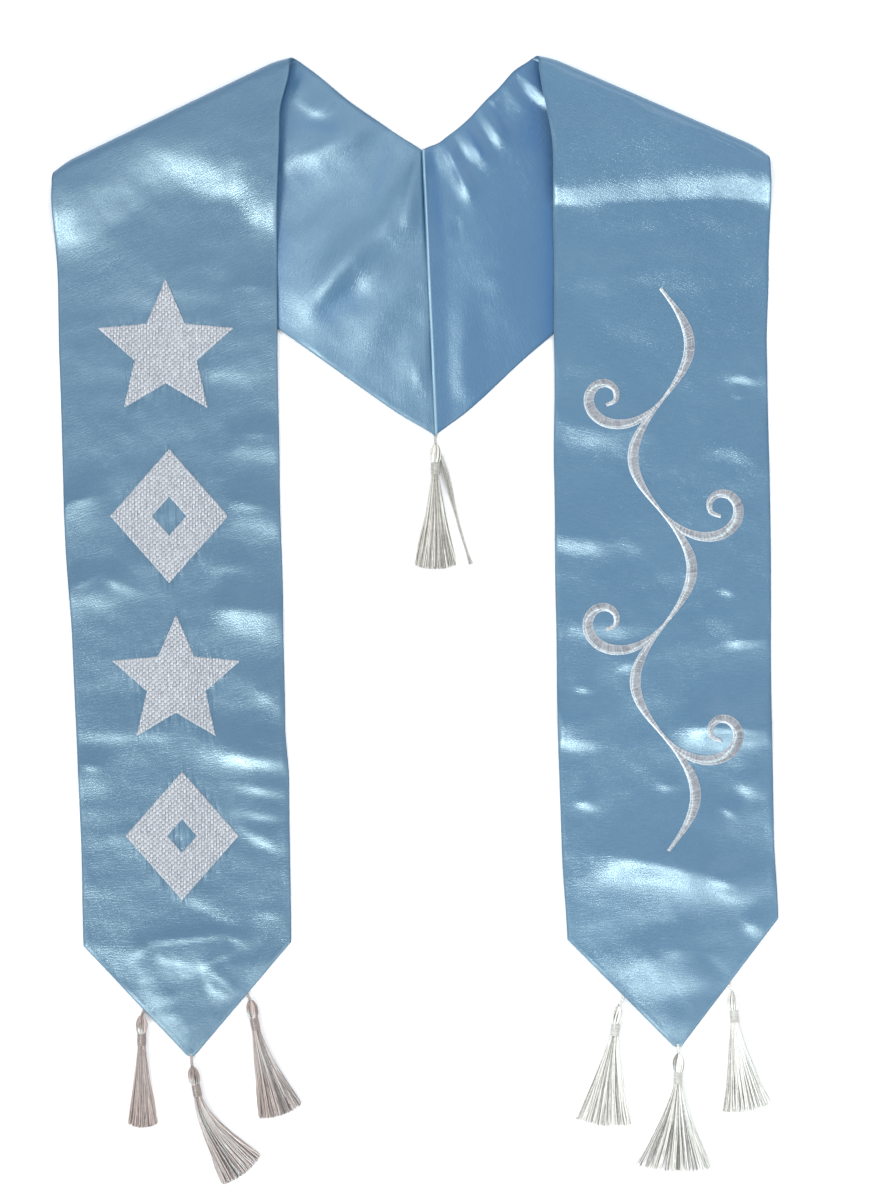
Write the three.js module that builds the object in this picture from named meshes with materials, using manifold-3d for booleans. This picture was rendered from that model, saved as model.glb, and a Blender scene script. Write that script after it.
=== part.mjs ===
// A child's graduation stole in satin, laid flat the way it is worn: the two halves of one long band meet
// in a seam at the nape, lie face down to the shoulders, fold over there and run down as two front panels.
// Each panel ends in a point with three tassels. Millimetres, X to the right, Y towards the neck, Z up.
// The origin is the middle of the object's own box, on the surface that it lies on.
import * as THREE from "three";
import { mergeVertices } from "three/addons/utils/BufferGeometryUtils.js";
import Module from "manifold-3d";

const wasm = await Module();
wasm.setup();

// Driving dimensions of the band
const bandWidth = 106;
const napeSpare = 1.2; // the band is cut this much wider where its halves are joined
const hemWidth = 101.7;
const frontLength = 430; // inner edge, from the shoulder fold to the corner where the point begins
const pointLength = 54.2;
const pointBlunt = 6; // width of the rounded end of each point
const neckEdge = 76; // from the V at the nape to the shoulder fold
const clothWall = 1.6; // two layers of satin with a stiffener between them
const foldHeight = 9; // the shoulder fold, floor to top
const cornerReach = 0.6; // how far the fold's ends bulge out, as a share of its middle
const layerGap = 0.5; // air between a front panel and the back that it lies on
const sewnGap = 0.3; // between pieces that are sewn to each other
const seamTilt = 2.6; // degrees that the nape seam leans to the right
const seamRoll = 1.1; // height of the rolled edge beside the nape seam
const seamRollWidth = 3.5;
const edgeDrop = 22; // run in which a front panel comes down past the back's lower edge
const shoulderRun = 19; // run in which a shoulder comes down to its panel
const foldRise = 1; // unit of height in the tables of folds
const leastRise = 0.05; // cloth that a fold would lift by less than this lies flat

// Driving dimensions of the embroidery
const stitchHeight = 0.9;
const motifWidth = 58;
const motifHeight = 66;
const diamondStroke = 15;
const starWaist = 0.46; // inner radius of a star, as a share of its outer one
const scrollLength = 296;
const scrollSwing = 14; // how far the stem swings to each side
const scrollStroke = 5.2;
const scrollHairline = 1.5;
const curlLength = 77;
const curlStartRadius = 36;
const curlEndRadius = 4.4;

// Driving dimensions of a tassel
const headLength = 8.6;
const headDiameter = 5.8;
const neckLength = 6.4;
const neckDiameter = 3.9;
const skirtLength = 43;
const skirtThickness = 2.4;
const loopLength = 5.6; // the longest loop, at the left point
const loopDiameter = 1.3;
const lockCount = 6;
const strayDiameter = 0.9;

// How finely the cloth is cut into facets
const columns = 10;
const backStations = 13;
const foldStations = 6;
const frontStations = 42;
const pointStations = 5;
const backCrowding = 1.25; // above 1, stations stand closer together at the nape
const frontCrowding = 1.12; // and at the shoulders
const headSides = 8;
const cordSides = 6;

// How each half lies. Slopes, tilts and leans are in degrees, and the shares are of the named lengths.
// A bow moves an edge out by a share of the band's width, at a share of the edge's length.
const LAY = {
  left: {
    sign: -1,
    neckShare: 1.04,
    neckSlope: 35.9,
    creaseSlope: 25.7,
    creaseShare: 1.087,
    lean: 0.06,
    hemShare: 0.99,
    hemTilt: -1.1,
    pointShare: 0.976,
    pointShift: -0.008,
    neckBow: [
      { at: 0, out: 0 },
      { at: 0.25, out: -0.009 },
      { at: 0.55, out: -0.013 },
      { at: 0.9, out: 0 },
      { at: 1, out: 0 },
    ],
    backBow: [{ at: 0, out: 0 }, { at: 0.11, out: 0.014 }, { at: 0.4, out: 0.009 }, { at: 1, out: 0 }],
    innerBow: [
      { at: 0, out: 0 },
      { at: 0.06, out: 0.046 },
      { at: 0.18, out: 0.06 },
      { at: 0.33, out: 0.0585 },
      { at: 0.47, out: 0.05 },
      { at: 0.62, out: 0.035 },
      { at: 0.75, out: 0.026 },
      { at: 0.82, out: 0.008 },
      { at: 1, out: 0 },
    ],
    outerBow: [
      { at: 0, out: 0 },
      { at: 0.03, out: 0.006 },
      { at: 0.12, out: -0.004 },
      { at: 0.24, out: 0.003 },
      { at: 0.47, out: 0.01 },
      { at: 0.6, out: -0.004 },
      { at: 0.86, out: -0.008 },
      { at: 1, out: 0 },
    ],
    shoulderFoot: [{ at: 0, along: 0.207 }, { at: 0.5, along: 0.156 }, { at: 1, along: 0.214 }],
  },
  right: {
    sign: 1,
    neckShare: 0.967,
    neckSlope: 40.05,
    creaseSlope: 23.4,
    creaseShare: 1.057,
    lean: 1.88,
    hemShare: 1.01,
    hemTilt: 5.68,
    pointShare: 1.024,
    pointShift: -0.03,
    neckBow: [
      { at: 0, out: 0 },
      { at: 0.15, out: -0.0236 },
      { at: 0.33, out: -0.028 },
      { at: 0.66, out: -0.008 },
      { at: 0.87, out: 0.009 },
      { at: 1, out: 0 },
    ],
    backBow: [{ at: 0, out: 0 }, { at: 0.1, out: 0.011 }, { at: 0.3, out: -0.005 }, { at: 1, out: 0 }],
    innerBow: [
      { at: 0, out: 0 },
      { at: 0.1, out: 0.05 },
      { at: 0.2, out: 0.041 },
      { at: 0.34, out: 0.0265 },
      { at: 0.47, out: 0.0087 },
      { at: 0.62, out: -0.003 },
      { at: 0.76, out: -0.0128 },
      { at: 0.9, out: -0.012 },
      { at: 1, out: 0 },
    ],
    outerBow: [
      { at: 0, out: 0 },
      { at: 0.03, out: 0.004 },
      { at: 0.14, out: -0.0096 },
      { at: 0.24, out: -0.022 },
      { at: 0.5, out: -0.014 },
      { at: 0.67, out: -0.0195 },
      { at: 0.88, out: -0.0155 },
      { at: 1, out: 0 },
    ],
    shoulderFoot: [{ at: 0, along: 0.17 }, { at: 1, along: 0.165 }],
  },
};

// Folds in the back: across and down from the V, as shares of the band's width and the seam's length.
// turn is in degrees from +X, long and wide are shares of the band's width, high is in units of foldRise.
const BACK_FOLDS = [
  { across: -0.42, down: 0.0, turn: 32, long: 0.3, wide: 0.1, high: 1.4 },
  { across: -0.28, down: 0.35, turn: 51, long: 0.7, wide: 0.1, high: 2.4 },
  { across: -0.14, down: 0.52, turn: 47, long: 0.48, wide: 0.09, high: 1.8 },
  { across: -0.05, down: 0.16, turn: 80, long: 0.3, wide: 0.055, high: 1.6 },
  { across: 0.16, down: 0.07, turn: -60, long: 0.26, wide: 0.05, high: 1.6 },
  { across: 0.25, down: -0.02, turn: -62, long: 0.24, wide: 0.05, high: 1.5 },
  { across: 0.33, down: -0.09, turn: -66, long: 0.2, wide: 0.05, high: 1.4 },
  { across: 0.44, down: -0.17, turn: -50, long: 0.22, wide: 0.055, high: 1.6 },
  { across: 0.19, down: 0.68, turn: 88, long: 0.45, wide: 0.06, high: 1.5 },
  { across: 0.34, down: 0.3, turn: 62, long: 0.5, wide: 0.13, high: 1.0 },
];

// Folds in the front panels: across from the inner edge outwards, along from the shoulder fold to the hem.
const FRONT_FOLDS = {
  left: [
    { across: 0.1, along: 0.262, turn: 2, long: 0.24, wide: 0.075, high: 1.0 },
    { across: 0.1, along: 0.43, turn: -4, long: 0.26, wide: 0.075, high: 1.2 },
    { across: 0.92, along: 0.5, turn: 16, long: 0.24, wide: 0.07, high: 1.1 },
    { across: 0.12, along: 0.51, turn: -12, long: 0.28, wide: 0.075, high: 1.2 },
    { across: 0.88, along: 0.6, turn: 8, long: 0.3, wide: 0.075, high: 1.1 },
    { across: 0.14, along: 0.63, turn: -14, long: 0.34, wide: 0.08, high: 1.3 },
    { across: 0.2, along: 0.775, turn: -6, long: 0.4, wide: 0.08, high: 1.3 },
    { across: 0.93, along: 0.81, turn: 10, long: 0.24, wide: 0.07, high: 1.1 },
    { across: 0.48, along: 1.005, turn: 8, long: 0.5, wide: 0.085, high: 2.2 },
    { across: 0.3, along: 1.04, turn: 66, long: 0.26, wide: 0.07, high: 2.0 },
    { across: 0.68, along: 1.05, turn: 40, long: 0.24, wide: 0.08, high: 1.6 },
  ],
  right: [
    { across: 0.9, along: 0.35, turn: -4, long: 0.24, wide: 0.07, high: 1.1 },
    { across: 0.3, along: 0.43, turn: -10, long: 0.5, wide: 0.085, high: 1.1 },
    { across: 0.85, along: 0.47, turn: 6, long: 0.34, wide: 0.08, high: 1.0 },
    { across: 0.1, along: 0.54, turn: -8, long: 0.3, wide: 0.075, high: 1.1 },
    { across: 0.84, along: 0.63, turn: 8, long: 0.3, wide: 0.08, high: 1.2 },
    { across: 0.1, along: 0.74, turn: 4, long: 0.3, wide: 0.08, high: 1.1 },
    { across: 0.78, along: 0.76, turn: -4, long: 0.5, wide: 0.09, high: 1.4 },
    { across: 0.42, along: 0.92, turn: -8, long: 0.7, wide: 0.11, high: 1.9 },
    { across: 0.5, along: 1.03, turn: -14, long: 0.4, wide: 0.09, high: 1.3 },
  ],
};

// Block motifs down the left panel: along as FRONT_FOLDS has it, size as a share of the named motif.
const MOTIFS = [
  { name: "motif_star_upper", kind: "star", along: 0.276, size: 1.04 },
  { name: "motif_diamond_upper", kind: "diamond", along: 0.478, size: 0.98 },
  { name: "motif_star_lower", kind: "star", along: 0.68, size: 0.98 },
  { name: "motif_diamond_lower", kind: "diamond", along: 0.868, size: 0.94 },
];
const motifAcross = 0.515;
const scrollAcross = 0.5;
const scrollTop = 0.215; // along the right panel, where the scroll begins
const stemWaves = 2.5;

// Curls of the scroll: at along its stem, where it crosses its own middle line, and size as a share
const CURLS = [
  { at: 0.2, size: 0.96 },
  { at: 0.4, size: 1 },
  { at: 0.6, size: 1 },
  { at: 0.8, size: 0.96 },
];

// Tassels. edge and at say where each is sewn; hang is its angle from straight down, towards +X, and turn
// what its skirt bends further, in degrees; long and spread are its skirt's length and end, as shares of
// skirtLength; loop is the length of cord that shows, as a share of loopLength.
const TASSELS = [
  {
    name: "left_outer", half: "left", edge: "outer", at: 0.6,
    loop: 0.3, hang: 0, turn: 1, long: 0.92, spread: 0.33,
  },
  {
    name: "left_point", half: "left", edge: "point", at: 1,
    loop: 1, hang: 11, turn: 27, long: 1.02, spread: 0.54,
  },
  {
    name: "left_inner", half: "left", edge: "inner", at: 0.47,
    loop: 0.43, hang: 11, turn: 7, long: 1, spread: 0.52,
  },
  {
    name: "right_inner", half: "right", edge: "inner", at: 0.54,
    loop: 0.75, hang: -9, turn: 3, long: 1.02, spread: 0.64,
  },
  {
    name: "right_point", half: "right", edge: "point", at: 1,
    loop: 0.68, hang: -1, turn: -2, long: 0.98, spread: 0.86,
  },
  {
    name: "right_outer", half: "right", edge: "outer", at: 0.53,
    loop: 0.57, hang: 4, turn: 6, long: 1.01, spread: 0.57,
  },
  {
    name: "back", half: "back", edge: "point", at: 1,
    loop: 0.57, hang: 0, turn: 0, long: 1.06, spread: 0.49, stray: true,
  },
];

// The strand that has come loose, from the top of the head: out and down are shares of skirtLength, and
// raised is how far it still is from the floor to the middle of the head.
const STRAY = [
  { out: 0.005, down: 0.028, raised: 1 },
  { out: 0.102, down: 0.279, raised: 0.4 },
  { out: 0.186, down: 0.605, raised: 0.06 },
  { out: 0.284, down: 0.977, raised: 0 },
  { out: 0.4, down: 1.349, raised: 0 },
];

const SATIN = new THREE.MeshStandardMaterial({ color: 0x86b4da, roughness: 0.35, metalness: 0.1 });
const STITCHES = new THREE.MeshStandardMaterial({ color: 0xe9e4ea, roughness: 0.5, metalness: 0 });
const RAYON = new THREE.MeshStandardMaterial({ color: 0xe6e2dc, roughness: 0.4, metalness: 0 });

const radians = (degrees) => (degrees * Math.PI) / 180;
const mix = (a, b, share) => a + (b - a) * share;
const clamp01 = (x) => Math.min(1, Math.max(0, x));
const smooth = (x) => clamp01(x) ** 2 * (3 - 2 * clamp01(x));

// The value of a table's column at a place between its rows, eased so that no row makes a corner.
function column(rows, name, at) {
  const next = rows.findIndex((row) => row.at >= at);
  if (next <= 0) return rows[next === 0 ? 0 : rows.length - 1][name];
  const [a, b] = [rows[next - 1], rows[next]];
  return mix(a[name], b[name], smooth((at - a.at) / (b.at - a.at)));
}

// An edge from one point to another that bows sideways, to the side that out points to.
function bowedEdge(from, to, rows, out) {
  const bow = (share) => column(rows, "out", share) * bandWidth;
  return (share) => from.clone().lerp(to, share).addScaledVector(out, bow(share));
}

// The direction that runs outwards on one side and rises at a slope, and the upward square to a direction.
const outwards = (sign, slope) =>
  new THREE.Vector2(sign * Math.cos(radians(slope)), Math.sin(radians(slope)));
const upFrom = (sign, way) => new THREE.Vector2(-sign * way.y, sign * way.x);
const downFrom = (sign, way) => upFrom(-sign, way);

// The height that a table of folds adds at a place. Each fold is a soft ridge with rounded ends.
function foldsAt(x, y, folds) {
  let height = 0;
  for (const fold of folds) {
    const [c, s] = [Math.cos(fold.turn), Math.sin(fold.turn)];
    const [dx, dy] = [x - fold.x, y - fold.y];
    const [along, across] = [(dx * c + dy * s) / fold.long, (dy * c - dx * s) / fold.wide];
    height += fold.high * Math.exp(-(across ** 2)) * Math.exp(-(along ** 4));
  }
  return height > leastRise ? height : 0;
}

// The corners of one half in plan, worked out from the driving dimensions and the way that the half lies.
const nape = new THREE.Vector2(0, 0);
const seamDirection = new THREE.Vector2(Math.sin(radians(seamTilt)), -Math.cos(radians(seamTilt)));
const meanNeckSlope = (LAY.left.neckSlope + LAY.right.neckSlope) / 2;
const seamLength = (bandWidth + napeSpare) / Math.cos(radians(meanNeckSlope + seamTilt / 2));
const backPoint = nape.clone().addScaledVector(seamDirection, seamLength);
const foldRadius = (foldHeight - clothWall) / 2;
const foldInset = foldRadius + clothWall / 2; // the fold's round begins this far inside its outermost line

function planOf(lay) {
  const { sign } = lay;
  const neckDirection = outwards(sign, lay.neckSlope);
  const apex = nape.clone().addScaledVector(neckDirection, neckEdge * lay.neckShare);
  const creaseDirection = outwards(sign, -lay.creaseSlope);
  const creaseOut = upFrom(sign, creaseDirection);
  const creaseLength = (bandWidth * lay.creaseShare) / Math.cos(radians(lay.creaseSlope));
  const shoulder = apex.clone().addScaledVector(creaseDirection, creaseLength);
  const leanDirection = new THREE.Vector2(Math.sin(radians(lay.lean)), -Math.cos(radians(lay.lean)));
  const innerHem = apex.clone().addScaledVector(leanDirection, frontLength);
  const hemDirection = outwards(sign, lay.hemTilt);
  const hemDown = downFrom(sign, hemDirection);
  const outerHem = innerHem.clone().addScaledVector(hemDirection, hemWidth * lay.hemShare);
  const hemMiddle = innerHem.clone().lerp(outerHem, 0.5 + lay.pointShift);
  const point = hemMiddle.addScaledVector(hemDown, pointLength * lay.pointShare);
  const seamInset = new THREE.Vector2((sign * sewnGap) / 2, 0);
  const napeCorner = nape.clone().add(seamInset);
  const backCorner = backPoint.clone().add(seamInset);
  const backOut = downFrom(sign, shoulder.clone().sub(backPoint).normalize());
  const toSide = new THREE.Vector2(sign, 0);
  // Each edge stops where the fold's round begins.
  const shortOfFold = (corner, away) => {
    const way = away.clone().sub(corner).normalize();
    return corner.clone().addScaledVector(way, foldInset / Math.abs(way.dot(creaseOut)));
  };
  return {
    ...lay,
    apex,
    shoulder,
    creaseOut,
    backOut,
    innerHem,
    outerHem,
    hemDown,
    point,
    neck: bowedEdge(napeCorner, shortOfFold(apex, napeCorner), lay.neckBow, upFrom(sign, neckDirection)),
    back: bowedEdge(backCorner, shortOfFold(shoulder, backCorner), lay.backBow, backOut),
    inner: bowedEdge(shortOfFold(apex, innerHem), innerHem, lay.innerBow, toSide),
    outer: bowedEdge(shortOfFold(shoulder, outerHem), outerHem, lay.outerBow, toSide),
    innerPoint: point.clone().addScaledVector(hemDirection, -pointBlunt / 2),
    outerPoint: point.clone().addScaledVector(hemDirection, pointBlunt / 2),
  };
}

const PLAN = { left: planOf(LAY.left), right: planOf(LAY.right) };

// A row of a table of folds as a ridge in millimetres, with its middle at x and y.
function ridge(row, x, y) {
  return {
    x,
    y,
    turn: radians(row.turn),
    long: (row.long * bandWidth) / 2,
    wide: row.wide * bandWidth,
    high: row.high * foldRise,
  };
}

const backFolds = BACK_FOLDS.map((row) => ridge(row, row.across * bandWidth, -row.down * seamLength));

function frontFolds(half) {
  const plan = PLAN[half];
  return FRONT_FOLDS[half].map((row) => {
    const place = plan.inner(Math.min(row.along, 1));
    const below = Math.max(row.along - 1, 0) * frontLength;
    return ridge(row, place.x + plan.sign * row.across * bandWidth, place.y - below);
  });
}

// Height of the middle of the cloth above the floor in the back, which lies on the floor.
function backHeight(plan, x, y) {
  const fromSeam = Math.abs(x - (-y / seamLength) * (backPoint.x - nape.x));
  const roll = plan.sign > 0 ? seamRoll * (1 - smooth(fromSeam / seamRollWidth)) : 0;
  const underFront = smooth((plan.sign * (x - plan.apex.x) + edgeDrop) / edgeDrop);
  return clothWall / 2 + roll + foldsAt(x, y, backFolds) * (1 - underFront);
}

// Height of the middle of the cloth in a front panel: over the back, down past its lower edge to the floor,
// and up to the top of the shoulder fold at the crease.
function frontHeight(half, folds, x, y) {
  const plan = PLAN[half];
  const pastEdge = (x - plan.shoulder.x) * plan.backOut.x + (y - plan.shoulder.y) * plan.backOut.y;
  const farthestBow = Math.max(...plan.backBow.map((row) => row.out)) * bandWidth;
  const cover = 1 - smooth((pastEdge - farthestBow) / edgeDrop);
  const under = backHeight(plan, x, y) - clothWall / 2;
  const lying = cover * (clothWall + layerGap + under) + foldsAt(x, y, folds);
  const across = clamp01((plan.sign * (x - plan.apex.x)) / bandWidth);
  const foot = plan.apex.y - column(plan.shoulderFoot, "along", across) * frontLength;
  const fromCrease = -((x - plan.apex.x) * plan.creaseOut.x + (y - plan.apex.y) * plan.creaseOut.y);
  const fromFold = fromCrease - foldInset;
  const raised = Math.max(smooth((y - foot) / shoulderRun), 1 - smooth(fromFold / shoulderRun));
  return clothWall / 2 + mix(lying, 2 * foldRadius, raised);
}

// The stations of one half, from the nape seam round the shoulder fold to the point. Each station is a row
// of places across the band, each place with its face (embroidered side) and its lining (back side).
function stationsOf(half) {
  const plan = PLAN[half];
  const folds = frontFolds(half);
  const wall = clothWall / 2;
  const rows = { back: [], fold: [], front: [] };
  const flatRow = (inner, outer, heightAt, faceUp) =>
    Array.from({ length: columns + 1 }, (_, j) => {
      const place = inner.clone().lerp(outer, j / columns);
      const z = heightAt(place.x, place.y);
      const side = faceUp ? wall : -wall;
      return {
        face: new THREE.Vector3(place.x, place.y, z + side),
        lining: new THREE.Vector3(place.x, place.y, z - side),
      };
    });
  for (let i = 0; i <= backStations; i++) {
    const share = (i / backStations) ** backCrowding;
    rows.back.push(flatRow(plan.neck(share), plan.back(share), (x, y) => backHeight(plan, x, y), false));
  }
  for (let i = 1; i < foldStations; i++) {
    const share = i / foldStations;
    const angle = share * Math.PI;
    const row = Array.from({ length: columns + 1 }, (_, j) => {
      const below = plan.neck(1).lerp(plan.back(1), j / columns);
      const above = plan.inner(0).lerp(plan.outer(0), j / columns);
      const place = below.lerp(above, share);
      const reach = (j === 0 || j === columns ? cornerReach : 1) * Math.sin(angle);
      const at = (radius) =>
        new THREE.Vector3(
          place.x + plan.creaseOut.x * radius * reach,
          place.y + plan.creaseOut.y * radius * reach,
          wall + foldRadius - radius * Math.cos(angle),
        );
      return { face: at(foldRadius + wall), lining: at(foldRadius - wall) };
    });
    rows.fold.push(row);
  }
  const heightAt = (x, y) => frontHeight(half, folds, x, y);
  for (let i = 0; i <= frontStations; i++) {
    const share = (i / frontStations) ** frontCrowding;
    rows.front.push(flatRow(plan.inner(share), plan.outer(share), heightAt, true));
  }
  for (let i = 1; i <= pointStations; i++) {
    const share = i / pointStations;
    const inner = plan.innerHem.clone().lerp(plan.innerPoint, share);
    const outer = plan.outerHem.clone().lerp(plan.outerPoint, share);
    rows.front.push(flatRow(inner, outer, heightAt, true));
  }
  return rows;
}

// A closed sheet between two grids of points, given as rows of [upper, lower] pairs.
function sheetGeometry(rows, flip) {
  const across = rows[0].length;
  const positions = rows.flat(2).flatMap((p) => p.toArray());
  const upper = (i, j) => 2 * (i * across + j);
  const lower = (i, j) => upper(i, j) + 1;
  const index = [];
  const quad = (a, b, c, d) => (flip ? index.push(a, c, b, a, d, c) : index.push(a, b, c, a, c, d));
  const [lastRow, lastColumn] = [rows.length - 1, across - 1];
  for (let i = 0; i < lastRow; i++) {
    for (let j = 0; j < lastColumn; j++) {
      quad(upper(i, j), upper(i + 1, j), upper(i + 1, j + 1), upper(i, j + 1));
      quad(lower(i, j), lower(i, j + 1), lower(i + 1, j + 1), lower(i + 1, j));
    }
    quad(upper(i, 0), lower(i, 0), lower(i + 1, 0), upper(i + 1, 0));
    quad(upper(i, lastColumn), upper(i + 1, lastColumn), lower(i + 1, lastColumn), lower(i, lastColumn));
  }
  for (let j = 0; j < lastColumn; j++) {
    quad(upper(0, j), upper(0, j + 1), lower(0, j + 1), lower(0, j));
    quad(upper(lastRow, j), lower(lastRow, j), lower(lastRow, j + 1), upper(lastRow, j + 1));
  }
  const geometry = new THREE.BufferGeometry();
  geometry.setAttribute("position", new THREE.Float32BufferAttribute(positions, 3));
  geometry.setIndex(index);
  return geometry;
}

// A closed three.js geometry as a solid for joining and cutting.
function solidOf(geometry) {
  const bare = new THREE.BufferGeometry();
  bare.setAttribute("position", geometry.getAttribute("position").clone());
  if (geometry.index) bare.setIndex(geometry.index.clone());
  const merged = mergeVertices(bare, 1e-4);
  const triangles = [];
  for (let i = 0; i < merged.index.count; i += 3) {
    const [a, b, c] = [0, 1, 2].map((k) => merged.index.getX(i + k));
    if (a !== b && b !== c && a !== c) triangles.push(a, b, c);
  }
  const vertProperties = merged.attributes.position.array;
  const triVerts = new Uint32Array(triangles);
  return new wasm.Manifold(new wasm.Mesh({ numProp: 3, vertProperties, triVerts }));
}

function geometryOf(solid) {
  const mesh = solid.getMesh();
  const geometry = new THREE.BufferGeometry();
  geometry.setAttribute("position", new THREE.BufferAttribute(mesh.vertProperties, 3));
  geometry.setIndex(new THREE.BufferAttribute(mesh.triVerts, 1));
  geometry.computeVertexNormals();
  return geometry;
}

const group = new THREE.Group();

function add(name, geometry, material) {
  const mesh = new THREE.Mesh(geometry, material);
  mesh.name = name;
  group.add(mesh);
}

// Makes one half of the band, in one piece, and gives the thin layer over its front panel that the
// embroidery is cut from.
function bandOf(half) {
  const { back, fold, front } = stationsOf(half);
  const flip = PLAN[half].sign < 0;
  const wall = [...back, ...fold, ...front].map((row) => row.map((p) => [p.face, p.lining]));
  add(`band_${half}`, sheetGeometry(wall, flip), SATIN);
  const raise = (point, height) => point.clone().setZ(point.z + height);
  const stitched = (p) => [raise(p.face, sewnGap + stitchHeight), raise(p.face, sewnGap)];
  return solidOf(sheetGeometry(front.map((row) => row.map(stitched)), flip));
}

// A flat outline as an upright solid that reaches through every height of the stole.
function upright(shape) {
  const geometry = new THREE.ExtrudeGeometry(shape, { depth: foldHeight * 3, bevelEnabled: false });
  return solidOf(geometry.translate(0, 0, -foldHeight));
}

const polygon = (points) => new THREE.Shape(points.map(([x, y]) => new THREE.Vector2(x, y)));

function starShape(x, y, size) {
  const points = [];
  for (let i = 0; i < 10; i++) {
    const radius = (i % 2 ? starWaist : 1) * (motifHeight / 2) * size;
    const angle = radians(90 + i * 36);
    points.push([x + radius * Math.cos(angle), y + radius * Math.sin(angle)]);
  }
  return polygon(points);
}

function diamondShape(x, y, size) {
  const ring = (inset) => {
    const halfWidth = (motifWidth * size) / 2;
    const halfHeight = (motifHeight * size) / 2;
    const shrink = 1 - (inset * Math.hypot(halfWidth, halfHeight)) / (halfWidth * halfHeight);
    const [w, h] = [halfWidth * shrink, halfHeight * shrink];
    return [[x + w, y], [x, y + h], [x - w, y], [x, y - h]];
  };
  const shape = polygon(ring(0));
  shape.holes.push(polygon(ring(diamondStroke)));
  return shape;
}

function addMotifs(layer) {
  const plan = PLAN.left;
  for (const motif of MOTIFS) {
    const middle = plan.inner(motif.along).lerp(plan.outer(motif.along), motifAcross);
    const shapeOf = motif.kind === "star" ? starShape : diamondShape;
    const outline = upright(shapeOf(middle.x, middle.y, motif.size));
    add(motif.name, geometryOf(layer.intersect(outline)), STITCHES);
  }
}

// A brush stroke as an outline: a line of points with a width at each.
function strokeShape(points, widthAt) {
  const last = points.length - 1;
  const side = (sign) =>
    points.map((p, i) => {
      const way = points[Math.min(i + 1, last)].clone().sub(points[Math.max(i - 1, 0)]).normalize();
      const half = (sign * widthAt(i / last)) / 2;
      return new THREE.Vector2(p.x - way.y * half, p.y + way.x * half);
    });
  return new THREE.Shape([...side(1).reverse(), ...side(-1)]);
}

// Where the scroll's stem runs: a wave down the right panel.
function stemAt(share) {
  const plan = PLAN.right;
  const along = scrollTop + (share * scrollLength) / frontLength;
  const middle = plan.inner(along).lerp(plan.outer(along), scrollAcross);
  return middle.setX(middle.x + scrollSwing * Math.sin(share * stemWaves * 2 * Math.PI));
}

// The stem is thick where it runs straight down, at its swings, and thin where it crosses over.
function stemWidth(share) {
  const swing = Math.sin(share * stemWaves * 2 * Math.PI) ** 2;
  return mix(scrollHairline, scrollStroke, swing);
}

// A curl leaves the stem along its way there and winds in on itself, tighter and tighter.
function curlPoints(curl) {
  const steps = 15;
  const nearby = 0.004; // a short way along the stem, to see how it runs
  const way = stemAt(curl.at + nearby).sub(stemAt(curl.at - nearby));
  const side = Math.sign(way.x);
  let heading = Math.atan2(way.y, way.x);
  const points = [stemAt(curl.at)];
  const step = (curlLength * curl.size) / steps;
  for (let i = 0; i < steps; i++) {
    const bend = mix(1 / curlStartRadius, 1 / curlEndRadius, ((i + 0.5) / steps) ** 2) / curl.size;
    heading += (side * bend * step) / 2;
    const next = points[i].clone();
    points.push(next.add(new THREE.Vector2(Math.cos(heading), Math.sin(heading)).multiplyScalar(step)));
    heading += (side * bend * step) / 2;
  }
  return points;
}

const curlWidth = (share) => mix(scrollHairline, scrollStroke, Math.sin(share * Math.PI));

function addScroll(layer) {
  const stemSteps = 36;
  const stem = Array.from({ length: stemSteps + 1 }, (_, i) => stemAt(i / stemSteps));
  let outline = upright(strokeShape(stem, stemWidth));
  for (const curl of CURLS) outline = outline.add(upright(strokeShape(curlPoints(curl), curlWidth)));
  add("scroll", geometryOf(layer.intersect(outline)), STITCHES);
}

// The head and neck of a tassel, round about its own axis, which runs down from the loop.
function tasselHead() {
  const [head, neck] = [headDiameter / 2, neckDiameter / 2];
  const profile = [
    [0, 0],
    [head * 0.42, headLength * 0.03],
    [head * 0.85, headLength * 0.25],
    [head, headLength * 0.55],
    [head * 0.86, headLength * 0.88],
    [neck * 0.92, headLength],
    [neck, headLength + neckLength * 0.1],
    [neck, headLength + neckLength * 0.9],
    [neck * 0.75, headLength + neckLength],
    [0, headLength + neckLength],
  ];
  const points = profile.map(([radius, down]) => new THREE.Vector2(radius, -down));
  return new THREE.LatheGeometry(points.reverse(), headSides);
}

// Where a tassel's axis is at a distance below the top of its head, and which way it points there.
function tasselAxis(tassel, distance) {
  const straight = headLength + neckLength;
  const bent = Math.max(distance - straight, 0);
  const steps = 8;
  const place = new THREE.Vector2(0, 0);
  const way = (down) => {
    const share = Math.min(down / (skirtLength * tassel.long), 1);
    const angle = radians(tassel.hang + tassel.turn * (1 - (1 - share) ** 3));
    return new THREE.Vector2(Math.sin(angle), -Math.cos(angle));
  };
  place.addScaledVector(way(0), Math.min(distance, straight));
  for (let i = 0; i < steps; i++) place.addScaledVector(way((bent * (i + 0.5)) / steps), bent / steps);
  return { place, way: way(bent) };
}

// A closed tube of four-cornered sections, each given by its four corners in turn.
function lockGeometry(sections) {
  const positions = sections.flat().flatMap((p) => p.toArray());
  const sides = sections[0].length;
  const index = [];
  for (let i = 0; i + 1 < sections.length; i++) {
    for (let j = 0; j < sides; j++) {
      const [a, b] = [i * sides + j, i * sides + ((j + 1) % sides)];
      index.push(a, b, b + sides, a, b + sides, a + sides);
    }
  }
  const last = (sections.length - 1) * sides;
  for (let j = 1; j + 1 < sides; j++) index.push(0, j + 1, j, last, last + j, last + j + 1);
  const geometry = new THREE.BufferGeometry();
  geometry.setAttribute("position", new THREE.Float32BufferAttribute(positions, 3));
  geometry.setIndex(index);
  return geometry;
}

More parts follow.
